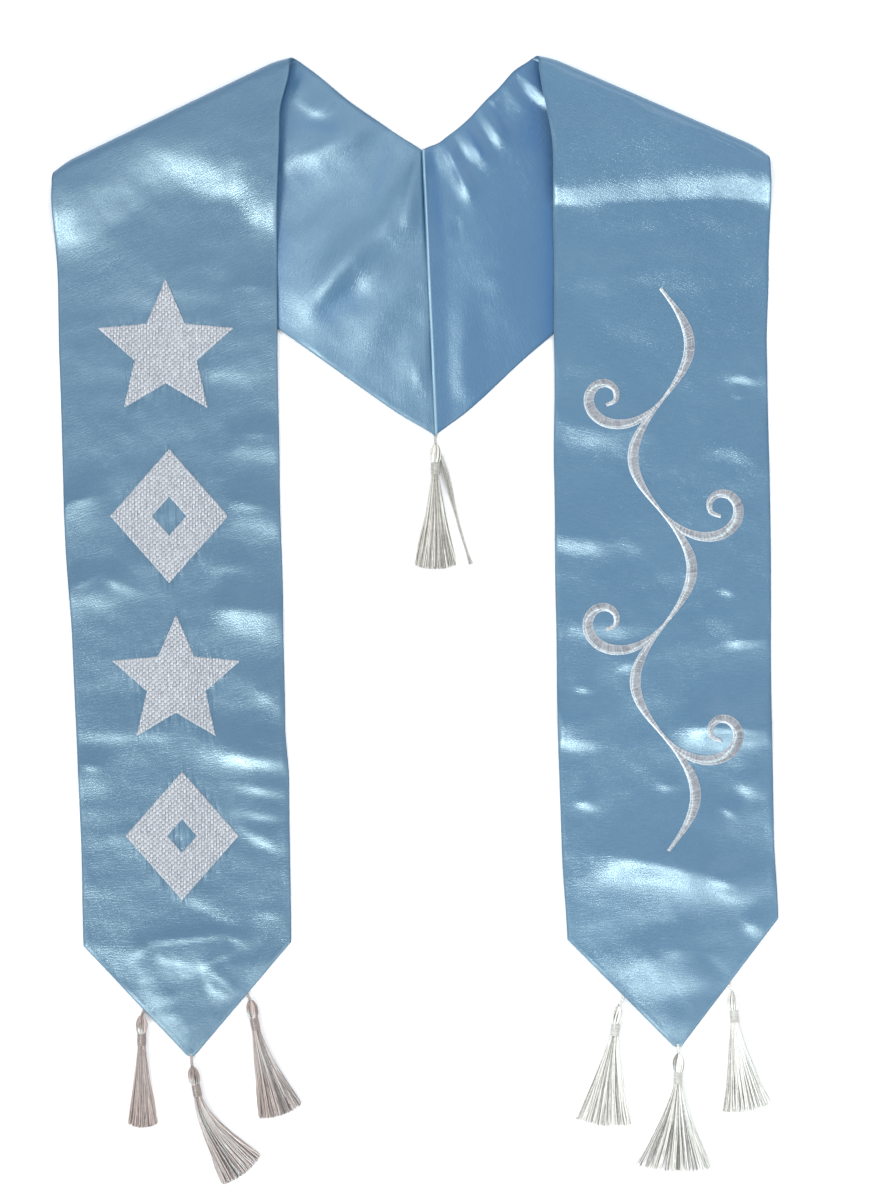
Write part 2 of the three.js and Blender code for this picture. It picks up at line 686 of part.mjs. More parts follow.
// One lock of a skirt: it leaves the neck beside its neighbours, fans out and comes down to the floor.
function lockOf(tassel, number) {
  const side = mix(-1, 1, number / (lockCount - 1));
  const spread = tassel.spread * skirtLength;
  const lockWidth = spread / lockCount;
  const overhang = neckLength * 0.4; // the stretch that runs up inside the neck
  const length = skirtLength * tassel.long * (1 - 0.05 * side ** 2 - 0.03 * (number % 2));
  const shares = [0, 0.2, 0.5, 1];
  const sections = shares.map((share) => {
    const down = headLength + neckLength - overhang + share * (length + overhang);
    const { place, way } = tasselAxis(tassel, down);
    const fan = mix(neckDiameter * 0.36, (spread - lockWidth) / 2, share ** 1.3) * side;
    const halfWidth = mix(neckDiameter * 0.2, lockWidth * 0.47, share);
    const halfHeight = mix(neckDiameter * 0.36, skirtThickness * (number % 2 ? 0.5 : 0.42), share);
    const height = mix(headDiameter / 2, halfHeight, smooth(share * 1.6));
    const at = (sideways, up) =>
      new THREE.Vector3(
        place.x - way.y * (fan + sideways * halfWidth),
        place.y + way.x * (fan + sideways * halfWidth),
        height + up * halfHeight,
      );
    return [at(-1, -0.6), at(1, -1), at(1, 0.6), at(-1, 1)];
  });
  return solidOf(lockGeometry(sections));
}

// A round cord along a path.
function cordGeometry(radius, extrudePath, steps) {
  const ring = new THREE.EllipseCurve(0, 0, radius, radius).getPoints(cordSides).slice(0, cordSides);
  return new THREE.ExtrudeGeometry(new THREE.Shape(ring), { steps, extrudePath });
}

// The one strand of the back tassel that has come loose and lies beside it.
function strayStrand() {
  const radius = strayDiameter / 2;
  const lying = radius * 1.08; // the strand's bends still clear the floor
  const placeOf = ({ out, down, raised }) =>
    new THREE.Vector3(out * skirtLength, -down * skirtLength, mix(lying, headDiameter / 2, raised));
  const path = new THREE.CatmullRomCurve3(STRAY.map(placeOf));
  return solidOf(cordGeometry(radius, path, 8));
}

// Where a tassel's loop comes out of the band's edge, and the way straight out from that edge.
function seatOf(tassel) {
  if (tassel.half === "back") return { seat: backPoint, out: seamDirection };
  const plan = PLAN[tassel.half];
  if (tassel.edge === "point") return { seat: plan.point, out: plan.hemDown };
  const inner = tassel.edge === "inner";
  const [from, to] = inner ? [plan.innerHem, plan.innerPoint] : [plan.outerHem, plan.outerPoint];
  const way = to.clone().sub(from).normalize();
  return { seat: from.clone().lerp(to, tassel.at), out: downFrom(inner ? plan.sign : -plan.sign, way) };
}

function addTassel(tassel) {
  const { seat, out } = seatOf(tassel);
  const hang = radians(tassel.hang);
  const down = new THREE.Vector2(Math.sin(hang), -Math.cos(hang));
  // A loop that leans still clears the edge by the sewn gap or nearly so.
  const start = seat.clone().addScaledVector(out, sewnGap + loopDiameter / 4);
  const top = start.clone().addScaledVector(out.clone().add(down).normalize(), tassel.loop * loopLength);
  const headTop = top.clone().addScaledVector(down, sewnGap);
  const headMiddle = headDiameter / 2;
  let solid = solidOf(tasselHead().rotateZ(hang).translate(0, 0, headMiddle));
  for (let i = 0; i < lockCount; i++) solid = solid.add(lockOf(tassel, i));
  if (tassel.stray) solid = solid.add(strayStrand());
  add(`tassel_${tassel.name}`, geometryOf(solid).translate(headTop.x, headTop.y, 0), RAYON);

  const halfway = start.clone().lerp(top, 0.5);
  const path = new THREE.CatmullRomCurve3([
    new THREE.Vector3(start.x, start.y, clothWall / 2),
    new THREE.Vector3(halfway.x, halfway.y, mix(clothWall / 2, headMiddle, 0.45)),
    new THREE.Vector3(top.x, top.y, headMiddle),
  ]);
  add(`loop_${tassel.name}`, geometryOf(solidOf(cordGeometry(loopDiameter / 2, path, 3))), RAYON);
}

addMotifs(bandOf("left"));
addScroll(bandOf("right"));
TASSELS.forEach(addTassel);

// The origin goes to the middle of the finished object's box, on the floor.
const box = new THREE.Box3().setFromObject(group, true);
const middle = box.getCenter(new THREE.Vector3());
group.position.set(-middle.x, -middle.y, -box.min.z);

export default group;
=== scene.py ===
# Looks of a child's graduation stole in satin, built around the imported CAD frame. The cloth follows the same
# plan and heights as the CAD source, with finer relief. Sizes are in millimetres, measured from the nape.
import math
from collections import namedtuple

import bpy
import numpy as np
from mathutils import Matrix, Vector


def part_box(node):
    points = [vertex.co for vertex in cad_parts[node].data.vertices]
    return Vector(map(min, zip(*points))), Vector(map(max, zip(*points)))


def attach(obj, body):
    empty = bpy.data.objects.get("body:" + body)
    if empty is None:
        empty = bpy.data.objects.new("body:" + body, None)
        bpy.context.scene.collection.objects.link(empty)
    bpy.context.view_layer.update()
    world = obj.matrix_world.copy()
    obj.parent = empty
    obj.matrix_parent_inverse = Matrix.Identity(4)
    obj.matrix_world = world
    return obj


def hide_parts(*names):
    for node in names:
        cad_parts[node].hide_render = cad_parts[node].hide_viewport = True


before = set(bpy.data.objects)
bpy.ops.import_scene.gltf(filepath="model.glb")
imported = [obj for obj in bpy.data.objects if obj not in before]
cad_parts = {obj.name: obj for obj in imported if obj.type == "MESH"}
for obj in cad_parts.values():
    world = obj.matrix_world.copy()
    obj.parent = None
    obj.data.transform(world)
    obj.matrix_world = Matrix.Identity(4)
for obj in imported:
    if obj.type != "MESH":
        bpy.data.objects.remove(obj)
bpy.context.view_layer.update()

MM = 0.001

# Sizes of the band, as in the CAD source
BAND_WIDTH = 106
NAPE_SPARE = 1.2
HEM_WIDTH = 101.7
FRONT_LENGTH = 430
POINT_LENGTH = 54.2
POINT_BLUNT = 6
NECK_EDGE = 76
CLOTH_WALL = 1.6
FOLD_HEIGHT = 9
CORNER_REACH = 0.6
LAYER_GAP = 0.5
SEWN_GAP = 0.3
SEAM_TILT = 2.6
SEAM_ROLL = 1.1
SEAM_ROLL_WIDTH = 3.5
EDGE_DROP = 22
SHOULDER_RUN = 19
LEAST_RISE = 0.05

# Where the cloth lies a little finer than in the CAD source
CORNER_ROUND = 0.1  # share of the width in which the fold's ends round off
SEAM_CLOSE = 0.3  # the halves meet in the seam, where the CAD keeps a gap between its solids
SHOULDER_REACH = {  # the rise's run in shoulder runs, across from the inner edge
    "left": [(0, 1.08), (0.48, 1.12), (0.68, 1.65), (0.85, 1.6), (1, 1.15)],
    "right": [(0, 0.5), (0.14, 0.52), (0.3, 0.62), (0.5, 0.72), (1, 0.78)],
}
SHOULDER_FOOT = {  # where the rise starts, below the apex in front lengths
    "left": [(0, 0.208), (0.13, 0.198), (0.28, 0.165), (0.5, 0.152), (1, 0.214)],
    "right": [(0, 0.17), (1, 0.165)],
}
SHOULDER_STRAIGHT = {"left": 1.8, "right": 1.2}  # how long the straight part is, in shares of the arched one
FOOT_SOFT = {"left": 3.5, "right": 0.8}  # how softly the rise starts
FOLD_EASE = 24  # run in which the fold's own height eases off
COVER_RUN = 46  # run in which a front comes down past the back's lower edge
TIP_FOLD_SHARE = 0.3  # what is left of the CAD's folds at the left tip, where creases take their place

# Sizes of the embroidery and the tassels, as in the CAD source
MOTIF_WIDTH = 58
MOTIF_HEIGHT = 66
DIAMOND_STROKE = 15
STAR_WAIST = 0.46
MOTIF_ACROSS = 0.515
SCROLL_LENGTH = 296
SCROLL_SWING = 14
SCROLL_STROKE = 5.2
SCROLL_HAIRLINE = 1.5
SCROLL_TOP = 0.215
SCROLL_ACROSS = 0.5
STEM_WAVES = 2.5
CURL_LENGTH = 77
CURL_START_RADIUS = 36
CURL_END_RADIUS = 4.4
HEAD_LENGTH = 8.6
HEAD_DIAMETER = 5.8
NECK_LENGTH = 6.4
NECK_DIAMETER = 3.9
SKIRT_LENGTH = 43
SKIRT_THICKNESS = 2.4
LOOP_LENGTH = 5.6
LOOP_DIAMETER = 1.3

# How each half lies, as in the CAD source: angles in degrees, and bows as (share of the edge, share of width)
LAY = {
    "left": dict(
        sign=-1, neck_share=1.04, neck_slope=35.9, crease_slope=25.7, crease_share=1.087, lean=0.06,
        hem_share=0.99, hem_tilt=-1.1, point_share=0.976, point_shift=-0.008,
        neck_bow=[(0, 0), (0.25, -0.009), (0.55, -0.013), (0.9, 0), (1, 0)],
        back_bow=[(0, 0), (0.11, 0.014), (0.4, 0.009), (1, 0)],
        inner_bow=[(0, 0), (0.06, 0.046), (0.18, 0.06), (0.33, 0.0585), (0.47, 0.05), (0.62, 0.035),
                   (0.75, 0.026), (0.82, 0.008), (1, 0)],
        outer_bow=[(0, 0), (0.03, 0.006), (0.12, -0.004), (0.24, 0.003), (0.47, 0.01), (0.6, -0.004),
                   (0.86, -0.008), (1, 0)],
    ),
    "right": dict(
        sign=1, neck_share=0.967, neck_slope=40.05, crease_slope=23.4, crease_share=1.057, lean=1.88,
        hem_share=1.01, hem_tilt=5.68, point_share=1.024, point_shift=-0.03,
        neck_bow=[(0, 0), (0.15, -0.0236), (0.33, -0.028), (0.66, -0.008), (0.87, 0.009), (1, 0)],
        back_bow=[(0, 0), (0.1, 0.011), (0.3, -0.005), (1, 0)],
        inner_bow=[(0, 0), (0.1, 0.05), (0.2, 0.041), (0.34, 0.0265), (0.47, 0.0087), (0.62, -0.003),
                   (0.76, -0.0128), (0.9, -0.012), (1, 0)],
        outer_bow=[(0, 0), (0.03, 0.004), (0.14, -0.0096), (0.24, -0.022), (0.5, -0.014), (0.67, -0.0195),
                   (0.88, -0.0155), (1, 0)],
    ),
}

# A soft ridge: its middle, its turn in degrees from +X, its half length, its half width and its height
Ridge = namedtuple("Ridge", "x y turn long wide high")

# Folds, as in the CAD source. Those of the back lie across and down from the V, in band widths and seam
# lengths, and those of the fronts across from the inner edge and along from the shoulder to the hem.
Fold = namedtuple("Fold", "across along turn long wide high")
BACK_FOLDS = [Fold(*row) for row in (
    (-0.42, 0, 32, 0.3, 0.1, 1.4), (-0.28, 0.35, 51, 0.7, 0.1, 2.4), (-0.14, 0.52, 47, 0.48, 0.09, 1.8),
    (-0.05, 0.16, 80, 0.3, 0.055, 1.6), (0.16, 0.07, -60, 0.26, 0.05, 1.6),
    (0.25, -0.02, -62, 0.24, 0.05, 1.5), (0.33, -0.09, -66, 0.2, 0.05, 1.4),
    (0.44, -0.17, -50, 0.22, 0.055, 1.6), (0.19, 0.68, 88, 0.45, 0.06, 1.5), (0.34, 0.3, 62, 0.5, 0.13, 1),
)]
FRONT_FOLDS = {half: [Fold(*row) for row in rows] for half, rows in {
    "left": (
        (0.1, 0.262, 2, 0.24, 0.075, 1), (0.1, 0.43, -4, 0.26, 0.075, 1.2),
        (0.92, 0.5, 16, 0.24, 0.07, 1.1), (0.12, 0.51, -12, 0.28, 0.075, 1.2),
        (0.88, 0.6, 8, 0.3, 0.075, 1.1), (0.14, 0.63, -14, 0.34, 0.08, 1.3),
        (0.2, 0.775, -6, 0.4, 0.08, 1.3), (0.93, 0.81, 10, 0.24, 0.07, 1.1),
        (0.48, 1.005, 8, 0.5, 0.085, 2.2), (0.3, 1.04, 66, 0.26, 0.07, 2),
        (0.68, 1.05, 40, 0.24, 0.08, 1.6),
    ),
    "right": (
        (0.9, 0.35, -4, 0.24, 0.07, 1.1), (0.3, 0.43, -10, 0.5, 0.085, 1.1), (0.85, 0.47, 6, 0.34, 0.08, 1),
        (0.1, 0.54, -8, 0.3, 0.075, 1.1), (0.84, 0.63, 8, 0.3, 0.08, 1.2), (0.1, 0.74, 4, 0.3, 0.08, 1.1),
        (0.78, 0.76, -4, 0.5, 0.09, 1.4), (0.42, 0.92, -8, 0.7, 0.11, 1.9),
        (0.5, 1.03, -14, 0.4, 0.09, 1.3),
    ),
}.items()}

Motif = namedtuple("Motif", "name kind along size")
MOTIFS = [
    Motif("motif_star_upper", "star", 0.276, 1.04),
    Motif("motif_diamond_upper", "diamond", 0.478, 0.98),
    Motif("motif_star_lower", "star", 0.68, 0.98),
    Motif("motif_diamond_lower", "diamond", 0.868, 0.94),
]

Curl = namedtuple("Curl", "at size")
CURLS = [Curl(0.2, 0.96), Curl(0.4, 1), Curl(0.6, 1), Curl(0.8, 0.96)]

Tassel = namedtuple("Tassel", "name half edge at loop hang turn long spread stray")
TASSELS = [
    Tassel("left_outer", "left", "outer", 0.6, 0.3, 0, 1, 0.92, 0.33, False),
    Tassel("left_point", "left", "point", 1, 1, 11, 27, 1.02, 0.54, False),
    Tassel("left_inner", "left", "inner", 0.47, 0.43, 11, 7, 1, 0.52, False),
    Tassel("right_inner", "right", "inner", 0.54, 0.75, -9, 3, 1.02, 0.64, False),
    Tassel("right_point", "right", "point", 1, 0.68, -1, -2, 0.98, 0.86, False),
    Tassel("right_outer", "right", "outer", 0.53, 0.57, 4, 6, 1.01, 0.57, False),
    Tassel("back", "back", "point", 1, 0.57, 0, 0, 1.06, 0.49, True),
]


radians = np.deg2rad


def joined(*parts):
    return np.stack(parts, axis=-1)


def mix(a, b, share):
    return a + (b - a) * share


def bell(distance, width):
    return np.exp(-((distance / width) ** 2))


def smooth(x):
    x = np.clip(x, 0, 1)
    return x * x * (3 - 2 * x)


def column(rows, at):
    """The value of a table of (place, value) rows at a place, eased between the rows."""
    places, values = np.array(rows, float).T
    at = np.clip(np.asarray(at, float), places[0], places[-1])
    after = np.clip(np.searchsorted(places, at), 1, len(places) - 1)
    share = (at - places[after - 1]) / (places[after] - places[after - 1])
    return mix(values[after - 1], values[after], smooth(share))


def unit(vector):
    return vector / np.linalg.norm(vector)


def run_along(line):
    """How far each point of a line is from its start along it."""
    return np.concatenate([[0], np.cumsum(np.linalg.norm(np.diff(line, axis=0), axis=1))])


def headings(line):
    way = np.gradient(line, axis=0)
    return way / np.linalg.norm(way, axis=1, keepdims=True)


def beside(place, way, sideways):
    return joined(place[..., 0] - way[..., 1] * sideways, place[..., 1] + way[..., 0] * sideways)


def outwards(sign, slope):
    return np.array([sign * math.cos(radians(slope)), math.sin(radians(slope))])


def up_from(sign, way):
    return np.array([-sign * way[1], sign * way[0]])


def down_from(sign, way):
    return up_from(-sign, way)


def bowed_edge(start, end, rows, out):
    """An edge between two points that bows sideways, as a function of the share of its length."""
    def edge(share):
        share = np.asarray(share, float)
        bow = column(rows, share) * BAND_WIDTH
        return start + share[..., None] * (end - start) + bow[..., None] * out
    return edge


SEAM_WAY = np.array([math.sin(radians(SEAM_TILT)), -math.cos(radians(SEAM_TILT))])
MEAN_SLOPE = (LAY["left"]["neck_slope"] + LAY["right"]["neck_slope"]) / 2
SEAM_LENGTH = (BAND_WIDTH + NAPE_SPARE) / math.cos(radians(MEAN_SLOPE + SEAM_TILT / 2))
BACK_POINT = SEAM_WAY * SEAM_LENGTH
FOLD_RADIUS = (FOLD_HEIGHT - CLOTH_WALL) / 2
FOLD_INSET = FOLD_RADIUS + CLOTH_WALL / 2


class Plan:
    """The corners and edges of one half of the band in plan."""

    def __init__(self, lay):
        sign = self.sign = lay["sign"]
        self.back_bow = lay["back_bow"]
        neck_way = outwards(sign, lay["neck_slope"])
        crease_way = outwards(sign, -lay["crease_slope"])
        crease_length = BAND_WIDTH * lay["crease_share"] / math.cos(radians(lay["crease_slope"]))
        lean_way = np.array([math.sin(radians(lay["lean"])), -math.cos(radians(lay["lean"]))])
        hem_way = outwards(sign, lay["hem_tilt"])
        self.hem_down = down_from(sign, hem_way)
        self.apex = neck_way * NECK_EDGE * lay["neck_share"]
        self.crease_out = up_from(sign, crease_way)
        self.shoulder = self.apex + crease_way * crease_length
        self.inner_hem = self.apex + lean_way * FRONT_LENGTH
        self.outer_hem = self.inner_hem + hem_way * HEM_WIDTH * lay["hem_share"]
        middle = mix(self.inner_hem, self.outer_hem, 0.5 + lay["point_shift"])
        self.point = middle + self.hem_down * POINT_LENGTH * lay["point_share"]
        self.inner_point = self.point - hem_way * POINT_BLUNT / 2
        self.outer_point = self.point + hem_way * POINT_BLUNT / 2
        inset = np.array([sign * (SEWN_GAP / 2 - SEAM_CLOSE), 0])
        back_corner = BACK_POINT + inset
        self.back_out = down_from(sign, unit(self.shoulder - BACK_POINT))
        side = np.array([sign, 0])
        near = self.short_of_fold
        self.neck = bowed_edge(inset, near(self.apex, inset), lay["neck_bow"], up_from(sign, neck_way))
        self.back = bowed_edge(back_corner, near(self.shoulder, back_corner), lay["back_bow"], self.back_out)
        self.inner = bowed_edge(near(self.apex, self.inner_hem), self.inner_hem, lay["inner_bow"], side)
        self.outer = bowed_edge(near(self.shoulder, self.outer_hem), self.outer_hem, lay["outer_bow"], side)

    def on_front(self, along, across):
        return mix(self.inner(along), self.outer(along), across)

    def short_of_fold(self, corner, away):
        way = unit(away - corner)
        return corner + way * FOLD_INSET / abs(way @ self.crease_out)


PLAN = {half: Plan(lay) for half, lay in LAY.items()}


def frame_place():
    """Where the nape is in the shared frame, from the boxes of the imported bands."""
    seam_low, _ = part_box("band_right")
    tip_low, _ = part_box("band_left")
    tip = min(PLAN["left"].inner_point[1], PLAN["left"].outer_point[1])
    return np.array([seam_low.x / MM - SEWN_GAP / 2, tip_low.y / MM - tip, 0])


NAPE = frame_place()


LONG_CREASE = 13  # a ridge of this half length keeps its height nearly to its ends
SHARP_ENDS = 4  # powers for the ends of long and of short ridges
SOFT_ENDS = 2
FARTHEST = 60  # beyond this exponent a ridge has come to nothing


def ridges_at(x, y, ridges, gentle=1, short_ends=SHARP_ENDS):
    """The height of soft ridges, which are wider by the factor gentle on their side away from the light."""
    height = np.zeros_like(x)
    for r in ridges:
        c, s = math.cos(radians(r.turn)), math.sin(radians(r.turn))
        dx, dy = x - r.x, y - r.y
        along, across = (dx * c + dy * s) / r.long, (dy * c - dx * s) / r.wide
        across = np.where(across * r.high > 0, across / gentle, across)
        ends = SHARP_ENDS if r.long >= LONG_CREASE else short_ends
        height += r.high * np.exp(-np.clip(across**2 + along**ends, 0, FARTHEST))
    return height


def folds_at(x, y, ridges):
    height = ridges_at(x, y, ridges)
    return np.where(height > LEAST_RISE, height, 0)


def fold_ridge(fold, x, y):
    return Ridge(x, y, fold.turn, fold.long * BAND_WIDTH / 2, fold.wide * BAND_WIDTH, fold.high)


def front_ridges(half):
    plan, ridges = PLAN[half], []
    for fold in FRONT_FOLDS[half]:
        if half == "left" and fold.along > 1:
            fold = fold._replace(high=fold.high * TIP_FOLD_SHARE)
        place = plan.inner(min(fold.along, 1))
        below = max(fold.along - 1, 0) * FRONT_LENGTH
        ridges.append(fold_ridge(fold, place[0] + plan.sign * fold.across * BAND_WIDTH, place[1] - below))
    return ridges


BACK_RIDGES = [fold_ridge(f, f.across * BAND_WIDTH, -f.along * SEAM_LENGTH) for f in BACK_FOLDS]
FRONT_RIDGES = {half: front_ridges(half) for half in PLAN}


def seam_distance(x, y):
    return np.abs(x + y / SEAM_LENGTH * BACK_POINT[0])


def back_height(plan, x, y):
    """Height of the middle of the cloth above the floor in the back."""
    roll = SEAM_ROLL * (1 - smooth(seam_distance(x, y) / SEAM_ROLL_WIDTH)) if plan.sign > 0 else 0
    under_front = smooth((plan.sign * (x - plan.apex[0]) + EDGE_DROP) / EDGE_DROP)
    return CLOTH_WALL / 2 + roll + folds_at(x, y, BACK_RIDGES) * (1 - under_front)


def arch(run, straight):
    """A rise from 0 to 1 that starts out straight, with a slope of one, and then eases off."""
    straight = straight / (1 + straight)
    eased = 1 - (1 - straight) * np.exp(-(run - straight) / (1 - straight))
    return np.where(run < straight, run, eased)


def front_height(half, x, y):
    """Height of the middle of the cloth in a front: over the back, then on the floor, up at the shoulder."""
    plan = PLAN[half]
    past_edge = (x - plan.shoulder[0]) * plan.back_out[0] + (y - plan.shoulder[1]) * plan.back_out[1]
    farthest_bow = max(out for _, out in plan.back_bow) * BAND_WIDTH
    cover = 1 - smooth((past_edge - farthest_bow) / COVER_RUN)
    under = back_height(plan, x, y) - CLOTH_WALL / 2
    lying = cover * (CLOTH_WALL + LAYER_GAP + under) + folds_at(x, y, FRONT_RIDGES[half])
    across = np.clip(plan.sign * (x - plan.apex[0]) / BAND_WIDTH, 0, 1)
    foot = plan.apex[1] - column(SHOULDER_FOOT[half], across) * FRONT_LENGTH
    from_crease = -((x - plan.apex[0]) * plan.crease_out[0] + (y - plan.apex[1]) * plan.crease_out[1])
    from_fold = from_crease - FOLD_INSET
    run = SHOULDER_RUN * column(SHOULDER_REACH[half], across)
    past_foot = (y - foot + np.hypot(y - foot, FOOT_SOFT[half])) / 2
    raised = 1 - (1 - arch(past_foot / run, SHOULDER_STRAIGHT[half])) * smooth(from_fold / FOLD_EASE)
    return CLOTH_WALL / 2 + mix(lying, 2 * FOLD_RADIUS, raised)


# Finer relief of the satin's upper side, which the CAD solids leave out

Wave = namedtuple("Wave", "kx ky phase size")


def waves(seed, count, shortest, longest, main_turn, spread):
    """Long soft undulations whose crests run about square to main_turn, in degrees from +X."""
    rng = np.random.default_rng(seed)
    made = []
    for _ in range(count):
        length = rng.uniform(shortest, longest)
        turn = radians(main_turn + rng.normal(0, spread))
        k, phase = 2 * math.pi / length, rng.uniform(0, 2 * math.pi)
        made.append(Wave(k * math.cos(turn), k * math.sin(turn), phase, length / longest))
    return made


def waves_at(x, y, made):
    total = np.zeros_like(x)
    for w in made:
        total += w.size * np.sin(w.kx * x + w.ky * y + w.phase)
    return total / math.sqrt(len(made))


FRONT_WAVES = {"left": waves(11, 10, 17, 46, 88, 14), "right": waves(23, 10, 17, 46, 92, 14)}
BACK_WAVES = {"left": waves(31, 7, 20, 44, 141, 16), "right": waves(37, 7, 24, 50, 20, 18)}
DENTS = waves(71, 16, 18, 42, 60, 60)
CRINKLES = waves(53, 24, 6, 14, 90, 50)
FRONT_WAVE_HEIGHT = {"left": 0.17, "right": 0.27}
BACK_WAVE_HEIGHT = 0.3
DENT_HEIGHT = {"left": 0.18, "right": 0.3}
CRINKLE_HEIGHT = 0.07
DEEPEST = 0.9  # that a valley goes into the cloth
HEM_PILLOW = 0.1  # the turned seam allowance along an edge stands this much proud
HEM_PILLOW_AT = 1.9
HEM_PILLOW_WIDTH = 1.3
SEAM_BEAD = 0.4  # the rolled bead beside the nape seam
SEAM_BEAD_AT = 0.7
SEAM_BEAD_WIDTH = 0.6
SEAM_SLOPE_RUN = 9  # run in which the cloth comes down from the bead
LIGHT_FROM = np.array([-0.58, -0.82])  # the side in plan that the light comes from
FLANK = 0.7  # a ridge is steepest at this share of its width
GENTLE = 3  # how much wider a crease is on its side away from the light
BACK_SHARE = {"left": 0.85, "right": 0.95}  # of the creases' heights in the tables below
FRONT_SHARE = {"left": 0.64, "right": 0.96}


def lit(x, y, turn, long, wide, high):
    """A ridge, or a valley where it is below zero, whose flank towards the light lies at x and y."""
    away = np.array([-math.sin(radians(turn)), math.cos(radians(turn))])
    if away @ LIGHT_FROM > 0:
        turn, away = turn + 180, -away
    away *= math.copysign(FLANK * wide, high)
    return Ridge(x + away[0], y + away[1], turn, long, wide, high)


def creases_at(x, y, creases):
    return ridges_at(x, y, creases, GENTLE, SOFT_ENDS)


# Hollows of the back whose near side lies in the shade, and creases that catch the light, each with the
# place of its lit flank
BACK_HOLLOWS = [Ridge(-38.7, -71.8, 33, 13, 7, -1.3), Ridge(-50, -24, 40, 20, 7, -0.8)]
BACK_CREASES = [lit(*row) for row in (
    (-60.9, 31, 78, 7, 2.6, 1.5), (-56, 20, -30, 7, 2.4, 1.1), (-49, 17.5, 8, 6, 2.4, 1.2),
    (-43, 22, 50, 6, 2.6, 1.3), (-44, -1, 20, 25, 6.5, 3.2), (-40, -65, 51, 25, 7.5, 3),
    (-17, -27, 70, 17, 6, 2.2), (-19, -62, 48, 12, 6, 1.5), (-9, -100, 82, 11, 4, 1.1),
    (-8.4, -20, 84, 16, 3.4, -1.3), (-5.2, -9, 78, 8, 1.6, 1), (-2.4, -8, 76, 7, 1.3, 0.8),
    (-3.5, -110, 84, 6, 1.8, 0.8), (11.6, -1.2, -61, 7, 2, 1.4), (20.4, 0.6, -61, 9, 3, 2),
    (18.4, -16.5, -66, 11, 3.4, 1.8), (32.4, 9.5, -60, 9, 3, 2), (8.2, -7, -80, 7, 1.7, -0.8),
    (14.5, -8, -66, 8, 2, -0.8), (26.5, -3, -62, 9, 3, -0.8), (18.6, -37.6, -86, 4, 1.1, -0.7),
    (33.5, 23, -52, 4.5, 1.7, 1), (52.5, 30, -48, 9, 2.8, 1.9), (58, 24, -30, 7, 2.6, 1.3),
    (46, 22, -50, 8, 3, -0.8), (61, 40, -70, 5, 2, 1.2), (36, -60, 70, 26, 9, 1.2),
    (50, -4, 76, 26, 8, -1.2),
)]
FRONT_CREASES = {half: [lit(*row) for row in rows] for half, rows in {
    "left": (
        (-116, -12, -2, 17, 6, 0.8), (-98, -20, -6, 12, 6, 0.8), (-80, -34, -16, 8, 5, 0.8),
        (-171, -40, 6, 9, 5, 0.5), (-82.6, -67, -2, 8, 2.5, 0.9), (-92.3, -109.7, -4, 14, 5, 1.1),
        (-80.7, -138.3, -3, 9, 2.2, 1.1), (-83.6, -172.7, -8, 11, 3, 1.5), (-162.6, -169.8, 15, 8, 3, 1.4),
        (-163.1, -210, 22, 7.5, 2.6, 1.2), (-148.1, -210.5, -22, 8, 2.6, 1.2),
        (-83.6, -225.1, -6, 15, 5, 2.1), (-94.2, -203.3, 0, 9, 2.5, 0.7), (-76.3, -266.3, -35, 12, 5, 1.3),
        (-77.7, -286.7, -10, 12, 1.8, -0.8), (-142.7, -284.7, 0, 22, 4, 1),
        (-160.7, -299.3, -5, 5, 2.4, 1.2), (-81.1, -296.9, -8, 15, 4.2, 1.9),
        (-77.7, -310.9, -10, 11, 3.6, 1.8), (-77.7, -323, -6, 9, 2.6, 1),
        (-77.7, -335.2, -28, 11, 3.4, 1.4), (-102, -369.1, -28, 16, 3.2, 0.7),
        (-73.9, -371.1, -10, 6, 3, 0.7), (-135, -387.6, 43, 5, 2, 0.9), (-113.6, -382.7, 5, 17, 2, 1.1),
        (-90.4, -383.2, -28, 6, 2.2, 1), (-96.2, -391, 24, 10, 2, 0.8), (-104.9, -400.2, -78, 5.5, 2, 0.9),
        (-98.1, -408.9, -30, 7, 1.8, 0.6), (-97.1, -402.6, -41, 11, 1.7, 0.8),
        (-119, -393.9, -10, 12, 1.8, 0.55), (-80.7, -392, 62, 10, 3, 1.1), (-123.3, -412.8, 30, 5, 3, 0.5),
        (-133, -401.7, 20, 5, 3, 0.6), (-122.8, -420.5, -10, 5, 1.8, 0.5),
    ),
    "right": (
        (77.4, -26.5, -5, 11, 2.4, 0.6), (156, -111.6, -5, 6, 2.2, 1.2), (153.1, -119.8, 0, 3, 1.5, 0.6),
        (91, -137.3, -4, 24, 7, 1.5), (150.7, -148.5, -12, 15, 6, 1.4), (89.1, -192.6, -4, 22, 7, 1.6),
        (147.8, -214.4, -25, 5, 3, 1.3), (156.5, -239.2, 5, 8, 2.6, 1.4), (88.1, -232.9, -3, 20, 6.5, 1.5),
        (102.2, -249.8, 22, 6, 2.4, 1.3), (78.4, -262, -5, 5, 2.2, 1.3), (75.5, -288.2, -3, 10, 4, 1.8),
        (149.7, -283.3, -3, 20, 6, 3), (118.7, -309, 0, 4, 2, 1), (158, -310.9, -25, 7, 4.5, 1.6),
        (79.4, -317.7, -15, 5, 2.2, 1.2), (148.3, -321.1, -40, 4, 1.6, 0.8),
        (112.9, -349.7, -12, 26, 7.5, 3.4), (146.8, -358.4, -25, 9, 5, 2.3),
        (160.4, -377.4, -30, 6, 3.5, 1.5), (124, -390, -5, 8, 5, 1.4), (144.4, -395.3, -45, 6, 3, -0.8),
    ),
}.items()}


